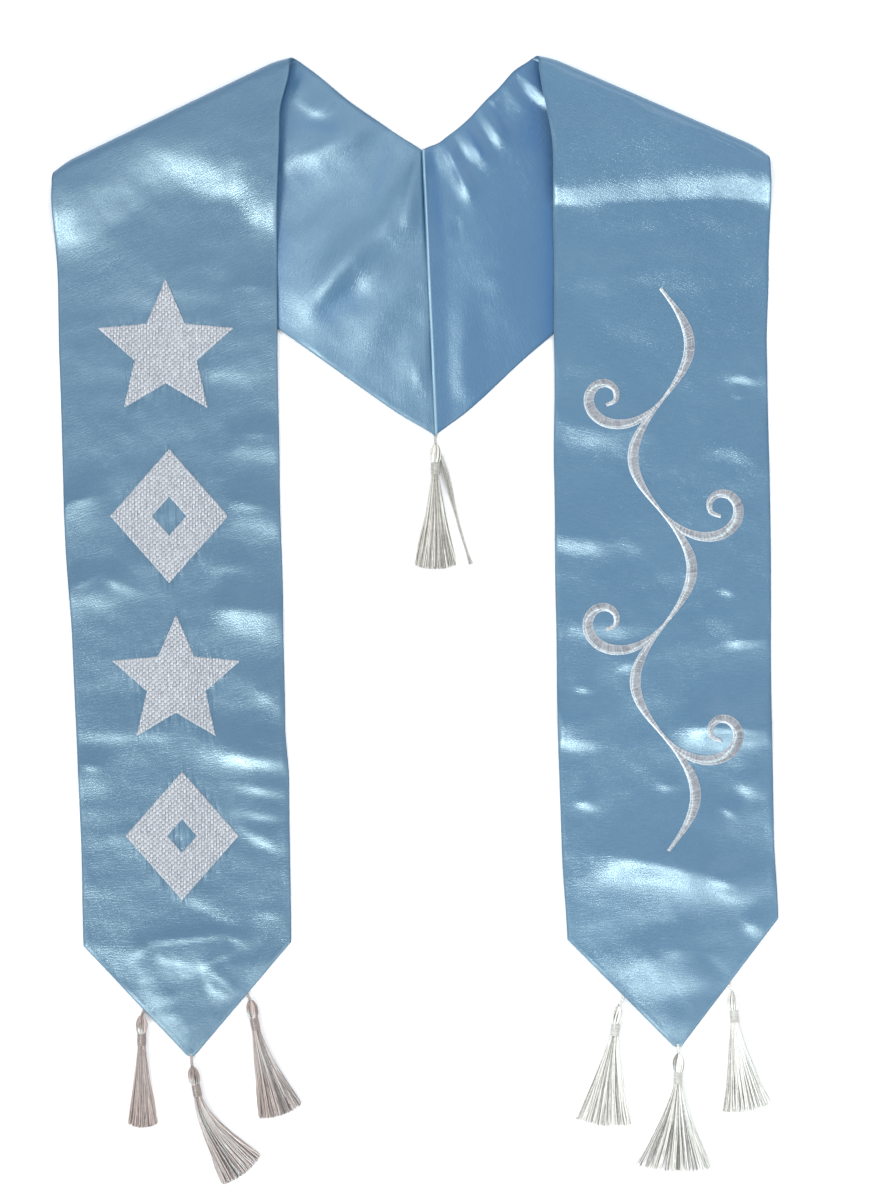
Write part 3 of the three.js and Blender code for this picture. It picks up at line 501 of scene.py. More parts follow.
def star_outline(motif):
    cx, cy = PLAN["left"].on_front(motif.along, MOTIF_ACROSS)
    points = []
    for i in range(10):
        radius = (STAR_WAIST if i % 2 else 1) * MOTIF_HEIGHT / 2 * motif.size
        angle = radians(90 + i * 36)
        points.append((cx + radius * math.cos(angle), cy + radius * math.sin(angle)))
    return [np.array(points)]


def diamond_outline(motif):
    cx, cy = PLAN["left"].on_front(motif.along, MOTIF_ACROSS)
    half_width, half_height = MOTIF_WIDTH * motif.size / 2, MOTIF_HEIGHT * motif.size / 2
    rings = []
    for inset in (0, DIAMOND_STROKE):
        shrink = 1 - inset * math.hypot(half_width, half_height) / (half_width * half_height)
        w, h = half_width * shrink, half_height * shrink
        rings.append(np.array([(cx + w, cy), (cx, cy + h), (cx - w, cy), (cx, cy - h)]))
    return rings


OUTLINE = {m.name: star_outline(m) if m.kind == "star" else diamond_outline(m) for m in MOTIFS}


def crossings(rings, x):
    """Heights at which an upright line at x crosses an outline, from the lowest up."""
    found = []
    for ring in rings:
        for a, b in zip(ring, np.roll(ring, -1, axis=0)):
            if (a[0] > x) != (b[0] > x):
                found.append(a[1] + (b[1] - a[1]) * (x - a[0]) / (b[0] - a[0]))
    return sorted(found)


PUCKER_REACH = 3.6
PUCKER_PLACES = 160
PUCKER_SIDES = (0.65, 0.4)  # where it starts to fade towards a motif's sides, and in what run, in half widths


def pucker_share(half, x, y):
    """Where the block embroidery draws small upright gathers into the satin above and below itself."""
    total = np.zeros_like(x)
    for motif in MOTIFS if half == "left" else []:
        rings = OUTLINE[motif.name]
        low, high = rings[0][:, 0].min(), rings[0][:, 0].max()
        places = np.linspace(low, high, PUCKER_PLACES + 2)[1:-1]
        ends = np.array([crossings(rings, place) for place in places], dtype=object)
        bottom = np.interp(x, places, [e[0] for e in ends])
        top = np.interp(x, places, [e[-1] for e in ends])
        beyond = np.maximum(np.maximum(bottom - y, y - top), 0)
        side = np.abs(x - (low + high) / 2) / (high - low) * 2
        inside = 1 - smooth((side - PUCKER_SIDES[0]) / PUCKER_SIDES[1])
        total += bell(beyond, PUCKER_REACH) * inside
    return np.clip(total, 0, 1)


def settle(height):
    """Keeps valleys from going deeper into the cloth than it is thick."""
    return np.where(height < 0, -DEEPEST * (1 - np.exp(height / DEEPEST)), height)


def relief(part, half, x, y, from_edge):
    """What the upper side of the cloth stands proud of the CAD's own surface."""
    height = HEM_PILLOW * bell(from_edge - HEM_PILLOW_AT, HEM_PILLOW_WIDTH)
    height = height + CRINKLE_HEIGHT * waves_at(x, y, CRINKLES)
    if part == "back":
        height += BACK_WAVE_HEIGHT * waves_at(x, y, BACK_WAVES[half])
        height += BACK_SHARE[half] * creases_at(x, y, BACK_CREASES) + ridges_at(x, y, BACK_HOLLOWS)
        if half == "right":
            far = seam_distance(x, y)
            height += SEAM_BEAD * bell(far - SEAM_BEAD_AT, SEAM_BEAD_WIDTH)
            height += SEAM_ROLL * (smooth(far / SEAM_ROLL_WIDTH) - smooth(far / SEAM_SLOPE_RUN))
        return settle(height)
    height += FRONT_WAVE_HEIGHT[half] * waves_at(x, y, FRONT_WAVES[half])
    height += DENT_HEIGHT[half] * waves_at(x, y, DENTS)
    height += FRONT_SHARE[half] * creases_at(x, y, FRONT_CREASES[half])
    return settle(height)


# The bands

SEAM_ROWS = 14  # close rows beside the nape seam, in this share of the back
SEAM_SHARE = 0.035
BACK_ROWS = 92
FOLD_ROWS = 14
FRONT_ROWS = 286
POINT_ROWS = 38
EDGE_STEPS = [0, 0.16, 0.45, 0.9, 1.5, 2.4, 3.6, 5, 6.6]  # columns beside an edge
PLAIN_STEP = 1.55
EDGE_ROUND = 0.35
SEAM_START = {"left": 0.3, "right": 0.9}  # how far into an edge's rounding the cloth begins at the seam
TIP_START = 0.3  # and at the tip
RELIEF_RUN = 2  # the finer relief fades out in this stretch along an edge
TIP_ROUND = 1.6  # how far the tip's end bulges out, which grows in this last share of the point
TIP_RUN = 0.12
CLOTH_UNIT = 100  # of the cloth's UV map


def column_places():
    """Shares of the band's width at which the cloth has a column of points, closer together at its edges."""
    edge = np.array(EDGE_STEPS) / BAND_WIDTH
    count = round((BAND_WIDTH - 2 * EDGE_STEPS[-1]) / PLAIN_STEP)
    return np.concatenate([edge[:-1], np.linspace(edge[-1], 1 - edge[-1], count), (1 - edge[:-1])[::-1]])


ACROSS = column_places()


def half_wall(from_edge):
    """Half the cloth's thickness at a distance from its turned edge, which is round."""
    return CLOTH_WALL / 2 * np.sqrt(1 - (1 - np.clip(from_edge / EDGE_ROUND, 0, 1)) ** 2)


def spread(inner, outer):
    return inner[:, None, :] + ACROSS[None, :, None] * (outer - inner)[:, None, :]


def edge_distance(inner, outer):
    width = np.linalg.norm(outer - inner, axis=1)[:, None]
    return np.minimum(ACROSS, 1 - ACROSS)[None, :] * width


def flat_rows(part, half, inner, outer, from_end=None, bulge=None):
    """Upper and lower points of rows that lie flat, from the places of their two ends."""
    place = spread(inner, outer)
    if bulge is not None:
        place += bulge[:, None, None] * (1 - (2 * ACROSS[:, None] - 1) ** 2) * PLAN[half].hem_down
    x, y = place[..., 0], place[..., 1]
    from_edge = edge_distance(inner, outer)
    if from_end is not None:
        from_edge = np.minimum(from_edge, from_end[:, None])
    z = back_height(PLAN[half], x, y) if part == "back" else front_height(half, x, y)
    wall = half_wall(from_edge)
    proud = relief(part, half, x, y, from_edge) * smooth(from_edge / RELIEF_RUN)
    return joined(x, y, z + wall + proud), joined(x, y, z - wall)


def fold_rows(half):
    """Outer and inner points of the rows round the shoulder fold."""
    plan = PLAN[half]
    share = np.arange(1, FOLD_ROWS) / FOLD_ROWS
    below = spread(plan.neck(1)[None], plan.back(1)[None])
    above = spread(plan.inner(0)[None], plan.outer(0)[None])
    place = below + share[:, None, None] * (above - below)
    angle = (share * math.pi)[:, None]
    corner = np.clip(np.minimum(ACROSS, 1 - ACROSS) / CORNER_ROUND, 0, 1)
    reach = mix(CORNER_REACH, 1, np.sin(corner * math.pi / 2))[None, :] * np.sin(angle)
    wall = half_wall(np.minimum(ACROSS, 1 - ACROSS)[None, :] * BAND_WIDTH)

    def at(radius):
        z = CLOTH_WALL / 2 + FOLD_RADIUS - radius * np.cos(angle)
        x = place[..., 0] + plan.crease_out[0] * radius * reach
        y = place[..., 1] + plan.crease_out[1] * radius * reach
        return joined(x, y, z)
    return at(FOLD_RADIUS + wall), at(FOLD_RADIUS - wall)


def band_grids(half):
    """The face and the lining of one half of the band, as two grids of points from the nape to the tip."""
    plan = PLAN[half]
    close = np.linspace(0, SEAM_SHARE, SEAM_ROWS, endpoint=False)
    share = np.concatenate([close, np.linspace(SEAM_SHARE, 1, BACK_ROWS)])
    from_seam = share * NECK_EDGE + SEAM_START[half]
    lining, face = flat_rows("back", half, plan.neck(share), plan.back(share), from_seam)
    fold_face, fold_lining = fold_rows(half)
    share = np.arange(FRONT_ROWS + 1) / FRONT_ROWS
    front_face, front_lining = flat_rows("front", half, plan.inner(share), plan.outer(share))
    share = (np.arange(1, POINT_ROWS + 1) / POINT_ROWS)[:, None]
    inner = mix(plan.inner_hem, plan.inner_point, share)
    outer = mix(plan.outer_hem, plan.outer_point, share)
    from_tip = (1 - share[:, 0]) * POINT_LENGTH + TIP_START
    bulge = TIP_ROUND * smooth((share[:, 0] - 1 + TIP_RUN) / TIP_RUN)
    point_face, point_lining = flat_rows("front", half, inner, outer, from_tip, bulge)
    return (
        np.concatenate([face, fold_face, front_face, point_face]),
        np.concatenate([lining, fold_lining, front_lining, point_lining]),
    )


def to_frame(points):
    return (np.asarray(points, float).reshape(-1, 3) + NAPE) * MM


def new_object(name, data):
    made = bpy.data.objects.new(name, data)
    bpy.context.scene.collection.objects.link(made)
    return made


def give(piece, name, values):
    layer = piece.data.attributes.new(name, "FLOAT", "POINT")
    layer.data.foreach_set("value", values.ravel().astype(np.float32))


def mesh_object(name, points, faces, material):
    """A smooth mesh from points in millimetres from the nape, with its object at the frame's origin."""
    mesh = bpy.data.meshes.new(name)
    mesh.from_pydata(to_frame(points).tolist(), [], faces)
    mesh.polygons.foreach_set("use_smooth", [True] * len(mesh.polygons))
    mesh.materials.append(material)
    mesh.update()
    return new_object(name, mesh)


def stand_for(piece, node):
    """A piece takes a node's place, whose part it hides, and rides on the one body."""
    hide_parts(node)
    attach(piece, "root")


def ring_faces(rows, around):
    """Quads between rings of points that follow each other, each ring closed."""
    i, j = np.meshgrid(np.arange(rows - 1), np.arange(around), indexing="ij")
    a, b = i * around + j, i * around + (j + 1) % around
    return joined(a, b, b + around, a + around).reshape(-1, 4)


# Shares of each point of the bands that the satin's material reads. Most of them paint light or shade into its
# colour: painted shade on the back, along the edges, beside the seam, in the gathers and over the left front,
# and a painted highlight on the seam's bead.
# Painted shade: dark thin lines along the band's edges, and beside the seam on the left half, fading in these
# runs; the same share also makes the edges rougher
EDGE_RUN = 0.9
SEAM_SHADE = 0.9
# Painted blue shade on the back: it fades from a front's edge in this run, and lies at least this much over
# all of each half
PAINTED_SHADE_RUN = 4.6
PAINTED_SHADE_LEAST = {"left": 0, "right": 0.38}
PAINTED_SHADE_HOLLOWS = {half: [Ridge(*row) for row in rows] for half, rows in {  # blue shade in the back's hollows
    "left": (
        (-39, -76, 36, 14, 6.5, 0.5), (-21, -13, 72, 15, 3, 0.35), (-58, -14, 30, 14, 5, 0.3),
        (-50, 12, -12, 12, 3, 0.3),
    ),
    "right": (
        (56, 13, 70, 15, 9, 0.45), (14, -6, -70, 9, 1.6, 0.5), (26, 3, -62, 9, 1.8, 0.5),
        (7, -22, -84, 22, 2.4, 0.4), (38, 14, -60, 8, 2, 0.4),
    ),
}.items()}
# width of the painted highlight along the seam's bead
BEAD_GLOW = 0.45


def painted_shade_share(half, x, y):
    """How much painted blue shade a point of the back takes: beside a front, in the back's hollows, and at
    least a set share over the right half.
    """
    plan = PLAN[half]
    edge = plan.inner(np.linspace(0, 1, 200))[::-1]
    from_front = plan.sign * (np.interp(y, edge[:, 1], edge[:, 0]) - x)
    shade = PAINTED_SHADE_LEAST[half] + np.exp(-np.clip(from_front, 0, None) / PAINTED_SHADE_RUN)
    return np.clip(shade + ridges_at(x, y, PAINTED_SHADE_HOLLOWS[half]), 0, 1)


def bead_highlight_share(half, x, y):
    """How much painted highlight a point takes near the top of the seam's bead, standing for the light the
    bead catches all along.
    """
    return bell(seam_distance(x, y) - SEAM_BEAD_AT, BEAD_GLOW) * (half == "right")


def make_band(half, material):
    face, lining = band_grids(half)
    rows, columns = face.shape[:2]
    rings = np.concatenate([face, lining[:, -2:0:-1]], axis=1)
    around = rings.shape[1]
    faces = ring_faces(rows, around)
    j = np.arange(columns - 1)
    cap = joined(j, -j % around, -(j + 1) % around, j + 1)
    cap[0, 1] = cap[0, 0]
    first = [[int(v) for v in dict.fromkeys(q)] for q in cap]
    first[-1] = [first[-1][0], first[-1][1], columns - 1]
    last = [[v + (rows - 1) * around for v in reversed(q)] for q in first]
    faces = faces.tolist() + first + last
    if PLAN[half].sign > 0:
        faces = [q[::-1] for q in faces]
    piece = mesh_object(f"satin_{half}", rings, faces, material)
    along = run_along(face.mean(axis=1))
    across = np.concatenate([ACROSS, ACROSS[-2:0:-1]]) * BAND_WIDTH
    layer = piece.data.uv_layers.new(name="cloth")
    index = np.zeros(len(piece.data.loops), int)
    piece.data.loops.foreach_get("vertex_index", index)
    uv = joined(across[index % around], along[index // around]) / CLOTH_UNIT
    layer.data.foreach_set("uv", uv.ravel())
    past_back = (np.arange(rows) - SEAM_ROWS - BACK_ROWS)[:, None]
    back = past_back < 0
    width = np.linalg.norm(face[:, -1] - face[:, 0], axis=1)[:, None]
    from_edge = np.minimum(across, BAND_WIDTH - across)[None, :] / BAND_WIDTH * width
    edge = bell(from_edge, EDGE_RUN)
    x, y = rings[..., 0], rings[..., 1]
    # painted shade: a dark line beside the seam on the left half
    if half == "left":
        edge = np.maximum(edge, back * bell(seam_distance(x, y), SEAM_SHADE))
    shares = {
        "deep": painted_shade_share(half, x, y) * back,
        "bead": bead_highlight_share(half, x, y) * back,
        "pucker": pucker_share(half, x, y) * ~back,
        "edge": edge,
        # painted shade: the left front a little darker than the right
        "dull": smooth(past_back / FOLD_ROWS) * (half == "left"),
    }
    for name, values in shares.items():
        give(piece, name, np.broadcast_to(values, x.shape))
    stand_for(piece, f"band_{half}")
    return piece


# Threads: many thin tubes in one mesh


class Threads:
    """Collects tubes of points and joins them into one mesh, with a shade for each thread."""

    def __init__(self):
        self.points, self.faces, self.shades, self.count = [], [], [], 0

    def add(self, paths, widths, heights, sides, shades):
        """paths: (threads, points, 3). widths and heights: half sizes of the section, along each path.
        shades: from 0, dark, to 1, light, of each thread or along it."""
        threads, length, _ = paths.shape
        way = np.gradient(paths, axis=1)
        way /= np.linalg.norm(way, axis=2, keepdims=True) + 1e-9
        flat = joined(-way[..., 1], way[..., 0], np.zeros_like(way[..., 0]))
        side = flat / (np.linalg.norm(flat, axis=2, keepdims=True) + 1e-9)
        up = np.cross(way, side)
        angle = (np.arange(sides) + 0.5) * 2 * math.pi / sides
        widths = np.broadcast_to(widths, (threads, length))[..., None, None]
        heights = np.broadcast_to(heights, (threads, length))[..., None, None]
        ring = side[:, :, None] * np.cos(angle)[:, None] * widths
        ring = ring + up[:, :, None] * np.sin(angle)[:, None] * heights
        points = paths[:, :, None] + ring
        per = length * sides
        quads = ring_faces(length, sides)
        starts = (np.arange(threads) * per + self.count)[:, None, None]
        self.faces.append((quads[None] + starts).reshape(-1, 4))
        self.points.append(points.reshape(-1, 3))
        self.shades.append(np.repeat(np.broadcast_to(shades, (threads, length)).ravel(), sides))
        self.count += threads * per

    def make(self, name, material, node):
        """The piece that stands for a node."""
        piece = mesh_object(name, np.concatenate(self.points), np.concatenate(self.faces).tolist(), material)
        give(piece, "shade", np.concatenate(self.shades))
        stand_for(piece, node)


def face_height(half, x, y):
    """Height of the satin's upper side in a front panel, well inside its edges."""
    x, y = np.asarray(x, float), np.asarray(y, float)
    proud = relief("front", half, x, y, np.full_like(x, BAND_WIDTH / 2))
    return front_height(half, x, y) + CLOTH_WALL / 2 + proud


# Block embroidery: rows of short upright stitches, each row set off from the next

STITCH_PITCH = 0.45
COLUMN_GAP = 0.12
COLUMN_STITCHES = 3
STITCH_LENGTH = 2.3
FULL_STITCH = 1.6  # a shorter one rises less
STITCH_LEAST = 0.9
STITCH_RISE = 0.5
STITCH_HALF_WIDTH = 0.26
STITCH_HALF_HEIGHT = 0.18
STITCH_DEPTH = -0.12
STITCH_SHARES = np.array([0, 0.17, 0.5, 0.83, 1])
STITCH_ARCH = np.array([0, 0.85, 1, 0.85, 0])
STITCH_TAPER = np.array([0.6, 1, 1, 1, 0.6])
ROW_OFFSETS = (0, 0, 0.06, 0.5, 0.5, 0.56)


def fill_stitches(rings, rng):
    """Ends of the stitches that fill an outline, as rows of x, lower y and upper y."""
    corners = np.concatenate(rings)
    low, high = corners[:, 0].min(), corners[:, 0].max()
    places = np.arange(int((high - low) / (STITCH_PITCH + COLUMN_GAP / COLUMN_STITCHES)))
    stitches = []
    gaps = places // COLUMN_STITCHES * COLUMN_GAP
    for number, x in enumerate(low + STITCH_PITCH / 2 + places * STITCH_PITCH + gaps):
        ys = crossings(rings, x)
        offset = ROW_OFFSETS[number % len(ROW_OFFSETS)] * STITCH_LENGTH
        for bottom, top in zip(ys[::2], ys[1::2]):
            bottom, top = bottom - rng.uniform(0, 0.3), top + rng.uniform(0, 0.3)
            first = math.ceil((bottom + STITCH_LEAST - offset) / STITCH_LENGTH)
            last = math.floor((top - STITCH_LEAST - offset) / STITCH_LENGTH)
            holes = [offset + k * STITCH_LENGTH + rng.normal(0, 0.06) for k in range(first, last + 1)]
            ends = [bottom, *holes, top]
            stitches += [(x, a, b) for a, b in zip(ends, ends[1:]) if b - a > 0.3]
    return np.array(stitches)


def make_motif(motif, material):
    rng = np.random.default_rng(len(motif.name))
    x, a, b = fill_stitches(OUTLINE[motif.name], rng).T
    y = a[:, None] + (b - a)[:, None] * STITCH_SHARES
    x = x[:, None] + rng.normal(0, 0.03, (len(x), 1)) + np.zeros_like(y)
    rise = STITCH_RISE * np.clip((b - a) / FULL_STITCH, 0.5, 1) * rng.uniform(0.9, 1.1, len(a))
    z = face_height("left", x, y) + STITCH_DEPTH + (rise - STITCH_DEPTH)[:, None] * STITCH_ARCH
    threads = Threads()
    shades = rng.uniform(0, 1, len(a))
    half_width = STITCH_HALF_WIDTH * STITCH_TAPER
    threads.add(joined(x, y, z), half_width, STITCH_HALF_HEIGHT, 4, shades[:, None])
    threads.make(f"stitched_{motif.name[6:]}", material, motif.name)


# The scroll: satin stitches laid side by side across a stroke that swells and thins

SATIN_PITCH = 0.36
SATIN_SLANT = 12
SATIN_SHARES = np.array([0, 0.06, 0.14, 0.26, 0.5, 0.74, 0.86, 0.94, 1])
SATIN_ARCH = np.array([0, 0.45, 0.7, 0.9, 1, 0.9, 0.7, 0.45, 0])
SATIN_HALF = (0.24, 0.17)  # half the width and height of a stitch
SATIN_RISE = 0.5
SATIN_SWELL = 0.13
# Painted highlight along the edges of the scroll's strokes
RIM_WIDTH = 0.52  # of the light line along each edge of a stroke
RIM_LEAST = 0.38  # its share on the side away from the light


def stem_at(share):
    middle = PLAN["right"].on_front(SCROLL_TOP + share * SCROLL_LENGTH / FRONT_LENGTH, SCROLL_ACROSS)
    swing = SCROLL_SWING * np.sin(share * STEM_WAVES * 2 * math.pi)
    return middle + joined(swing, np.zeros_like(swing))


def stem_width(share):
    return mix(SCROLL_HAIRLINE, SCROLL_STROKE, np.sin(share * STEM_WAVES * 2 * math.pi) ** 2)


def curl_points(curl):
    """A curl leaves the stem along its way there and winds in on itself, tighter and tighter."""
    steps, nearby = 15, 0.004
    ends = stem_at(np.array([curl.at - nearby, curl.at + nearby]))
    way = ends[1] - ends[0]
    side = np.sign(way[0])
    heading = math.atan2(way[1], way[0])
    points = [stem_at(np.array(curl.at))]
    step = CURL_LENGTH * curl.size / steps
    for i in range(steps):
        bend = mix(1 / CURL_START_RADIUS, 1 / CURL_END_RADIUS, ((i + 0.5) / steps) ** 2) / curl.size
        heading += side * bend * step / 2
        points.append(points[-1] + np.array([math.cos(heading), math.sin(heading)]) * step)
        heading += side * bend * step / 2
    return np.array(points)


def curl_width(share):
    return mix(SCROLL_HAIRLINE, SCROLL_STROKE, np.sin(share * math.pi))


def smooth_line(points, count):
    """The points of a Catmull-Rom curve through a line of points, evenly spaced."""
    padded = np.concatenate([[2 * points[0] - points[1]], points, [2 * points[-1] - points[-2]]])
    fine = []
    for i in range(1, len(padded) - 2):
        a, b, c, d = padded[i - 1:i + 3]
        t = np.linspace(0, 1, 12, endpoint=False)[:, None]
        fine.append(0.5 * (2 * b + (c - a) * t + (2 * a - 5 * b + 4 * c - d) * t**2
                           + (3 * b - a - 3 * c + d) * t**3))
    fine = np.concatenate([*fine, [points[-1]]])
    length = run_along(fine)
    at = np.linspace(0, length[-1], count)
    return joined(*(np.interp(at, length, part) for part in fine.T)), length[-1]


def add_stroke(threads, points, width_at, rng):
    line, length = smooth_line(points, 400)
    count = int(length / SATIN_PITCH)
    line, _ = smooth_line(points, count)
    share = np.linspace(0, 1, count)
    way = headings(line)
    slant = radians(90 + SATIN_SLANT)
    c, s = math.cos(slant), math.sin(slant)
    across = joined(way[:, 0] * c - way[:, 1] * s, way[:, 0] * s + way[:, 1] * c)
    width = width_at(share) + rng.normal(0, 0.07, count)
    offsets = (SATIN_SHARES - 0.5)[None, :] * width[:, None]
    place = line[:, None] + across[:, None] * offsets[..., None]
    base = face_height("right", place[..., 0], place[..., 1])
    rise = SATIN_RISE + SATIN_SWELL * width + rng.normal(0, 0.02, count)
    z = base + STITCH_DEPTH + (rise - STITCH_DEPTH)[:, None] * SATIN_ARCH
    paths = np.concatenate([place, z[..., None]], axis=-1)
    from_end = (0.5 - np.abs(SATIN_SHARES - 0.5)) * width[:, None]
    # painted highlight: a light line along each edge of a stroke, strongest on the side towards the light
    towards = np.clip(np.sign(SATIN_SHARES - 0.5) * (across @ LIGHT_FROM)[:, None], 0, 1)
    rim_painted_highlight = bell(from_end, RIM_WIDTH) * mix(RIM_LEAST, 1, towards)
    threads.add(paths, *SATIN_HALF, 4, rng.uniform(0, 0.25, count)[:, None] + rim_painted_highlight)


def make_scroll(material):
    rng = np.random.default_rng(5)
    threads = Threads()
    for curl in CURLS:
        add_stroke(threads, curl_points(curl), curl_width, rng)
    add_stroke(threads, stem_at(np.linspace(0, 1, 73)), stem_width, rng)
    threads.make("stitched_scroll", material, "scroll")


# Tassels: a head of folded threads, a wound neck and a skirt of loose strands

STRAND_HALF = 0.21
STRAND_LIFT = STRAND_HALF * 1.1  # of the lowest strands' middles above the floor
SKIRT_STRANDS = 230
CLUMPS = 11
HEAD_STRANDS = 30
HEAD_HALF = 0.36
NECK_TURNS = 8
NECK_HALF = 0.42
BEND_STEPS = 8


def tassel_axis(tassel, distance):
    """Place and direction of a tassel's axis at distances below the top of its head."""
    distance = np.asarray(distance, float)
    straight = HEAD_LENGTH + NECK_LENGTH
    bent = np.maximum(distance - straight, 0)

    def way(down):
        share = np.minimum(down / (SKIRT_LENGTH * tassel.long), 1)
        angle = radians(tassel.hang + tassel.turn * (1 - (1 - share) ** 3))
        return joined(np.sin(angle), -np.cos(angle))
    place = way(np.zeros_like(bent)) * np.minimum(distance, straight)[..., None]
    for i in range(BEND_STEPS):
        place = place + way(bent * (i + 0.5) / BEND_STEPS) * (bent / BEND_STEPS)[..., None]
    return place, way(bent)


def seat_of(tassel):
    if tassel.half == "back":
        return BACK_POINT, SEAM_WAY
    plan = PLAN[tassel.half]
    if tassel.edge == "point":
        return plan.point, plan.hem_down
    inner = tassel.edge == "inner"
    start, end = (plan.inner_hem, plan.inner_point) if inner else (plan.outer_hem, plan.outer_point)
    return mix(start, end, tassel.at), down_from(plan.sign if inner else -plan.sign, unit(end - start))


def head_radius(down):
    """Radius of the head and neck at a distance below the top of the head."""
    head, neck = HEAD_DIAMETER / 2, NECK_DIAMETER / 2
    places = [*(HEAD_LENGTH * v for v in (0, 0.03, 0.25, 0.55, 0.88)),
              *(HEAD_LENGTH + NECK_LENGTH * v for v in (0, 0.1, 0.9, 1))]
    radii = [*(head * v for v in (0, 0.42, 0.85, 1, 0.86)), *(neck * v for v in (0.92, 1, 1, 0.75))]
    return np.interp(down, places, radii)


def on_axis(tassel, top, down, sideways, height):
    """Points beside a tassel's axis: down it, sideways from it in plan, and at a height above the floor."""
    place, way = tassel_axis(tassel, down)
    place = beside(top + place, way, sideways)
    return np.concatenate([place, (height + np.zeros_like(place[..., 0]))[..., None]], axis=-1)


def add_head(threads, tassel, top, rng):
    """Threads folded over the top of the head, down round its bulge and in under the winding."""
    down = np.array([0.15, 0.5, 1.3, 2.6, 4.2, 5.8, 7.2, 8.2, 9.2])
    turn = (np.arange(HEAD_STRANDS) + rng.normal(0, 0.2, HEAD_STRANDS)) * 2 * math.pi / HEAD_STRANDS
    twist = rng.normal(0.25, 0.2, HEAD_STRANDS)
    angle = turn[:, None] + twist[:, None] * down / HEAD_LENGTH
    radius = head_radius(down) * 0.9 * rng.uniform(0.93, 1.05, (HEAD_STRANDS, 1))
    half = HEAD_HALF * np.interp(down, [0, 1.5, 5, 9], [0.45, 0.85, 1, 0.7])
    height = np.maximum(HEAD_DIAMETER / 2 + radius * np.sin(angle), half)
    paths = on_axis(tassel, top, down + np.zeros_like(angle), radius * np.cos(angle), height)
    threads.add(paths, half, half, 6, rng.uniform(0, 1, (HEAD_STRANDS, 1)))


def add_neck(threads, tassel, top, rng):
    """The winding round the neck, as one cord laid turn by turn."""
    count = NECK_TURNS * 18
    share = np.linspace(0, 1, count)
    down = HEAD_LENGTH + NECK_LENGTH * mix(0.03, 0.97, share)
    angle = share * NECK_TURNS * 2 * math.pi
    radius = NECK_DIAMETER / 2 - 0.2 + 0.12 * np.sin(share * math.pi)
    path = on_axis(tassel, top, down, radius * np.cos(angle), HEAD_DIAMETER / 2 + radius * np.sin(angle))
    threads.add(path[None], NECK_HALF, NECK_HALF, 6, 0.3)


def add_skirt(threads, tassel, top, rng):
    """Strands that leave the neck together, fan out in loose locks and come down to the floor."""
    n = SKIRT_STRANDS
    share = np.linspace(0, 1, 13)[None, :]
    side = np.sort(rng.uniform(-1, 1, n))[:, None]
    layer = rng.uniform(-1, 1, n)[:, None]
    clump_middle = (np.floor((side + 1) / 2 * CLUMPS) + 0.5) / CLUMPS * 2 - 1
    pull = rng.uniform(0.1, 0.6, CLUMPS)[np.clip(((side + 1) / 2 * CLUMPS).astype(int), 0, CLUMPS - 1)]
    gathered = mix(side, clump_middle, pull * smooth(share * 1.2))
    overhang = NECK_LENGTH * 0.3
    length = SKIRT_LENGTH * tassel.long * (1 - 0.05 * side**2 - 0.035 * rng.uniform(0, 1, (n, 1)) ** 2)
    down = HEAD_LENGTH + NECK_LENGTH - overhang + share * (length + overhang)
    half_spread = mix(NECK_DIAMETER * 0.42, tassel.spread * SKIRT_LENGTH / 2, share**1.3)
    wander = rng.normal(0, 0.5, (n, 1)) * np.sin(share * math.pi * rng.uniform(0.8, 2.2, (n, 1)))
    fan = gathered * half_spread + wander * share
    half_height = mix(NECK_DIAMETER * 0.36, SKIRT_THICKNESS * 0.5, smooth(share * 1.4))
    middle = mix(HEAD_DIAMETER / 2, SKIRT_THICKNESS * 0.5, smooth(share * 1.6))
    round_off = np.sqrt(np.clip(1 - (side * (1 - share)) ** 2, 0, 1))
    height = middle + layer * (half_height - STRAND_HALF) * round_off * 0.95
    paths = on_axis(tassel, top, down, fan, np.maximum(height, STRAND_LIFT))
    threads.add(paths, STRAND_HALF * 1.1, STRAND_HALF, 4, rng.uniform(0, 1, (n, 1)))


STRAY_ROUTE = [(0.2, -1.2, 2.9), (4.4, -12, 1.3), (8, -26, 0.75), (12.2, -42, 0.55), (17.2, -58, 0.55)]
STRAY_SPREAD = [(0, 1.2), (0.3, 1.5), (0.6, 0.6), (0.9, 0.45), (1, 1.0)]


def add_stray(threads, top, rng):
    """The lock of the back tassel that has come loose and lies beside it."""
    line, _ = smooth_line(np.array(STRAY_ROUTE, float), 22)
    way = headings(line[:, :2])
    share = np.linspace(0, 1, len(line))
    n = 24
    sideways = rng.uniform(-1, 1, (n, 1)) * column(STRAY_SPREAD, share)
    raised = rng.uniform(-0.25, 0.35, (n, 1)) * column(STRAY_SPREAD, share)
    place, height = beside(top + line[:, :2], way, sideways), np.maximum(line[:, 2] + raised, STRAND_LIFT)
    paths = np.concatenate([place, height[..., None]], axis=-1)
    threads.add(paths, STRAND_HALF * 0.9, STRAND_HALF * 0.8, 4, rng.uniform(0, 0.7, (n, 1)))


def make_tassel(tassel, material):
    rng = np.random.default_rng(40 + len(tassel.name) + int(tassel.spread * 100))
    seat, out = seat_of(tassel)
    hang = radians(tassel.hang)
    down = np.array([math.sin(hang), -math.cos(hang)])
    start = seat + out * (SEWN_GAP + LOOP_DIAMETER / 4)
    loop_end = start + unit(out + down) * tassel.loop * LOOP_LENGTH
    top = loop_end + down * SEWN_GAP
    threads = Threads()
    add_head(threads, tassel, top, rng)
    add_neck(threads, tassel, top, rng)
    add_skirt(threads, tassel, top, rng)
    if tassel.stray:
        add_stray(threads, top, rng)
    threads.make(f"threads_{tassel.name}", material, f"tassel_{tassel.name}")
    make_loop(tassel, start, top, out, material)


PLY_OFFSET = 0.38
PLY_HALF = 0.42
PLY_TWIST = 2.6  # length of one turn
LOOP_ROOT = 0.6  # how deep a loop is sewn into the edge


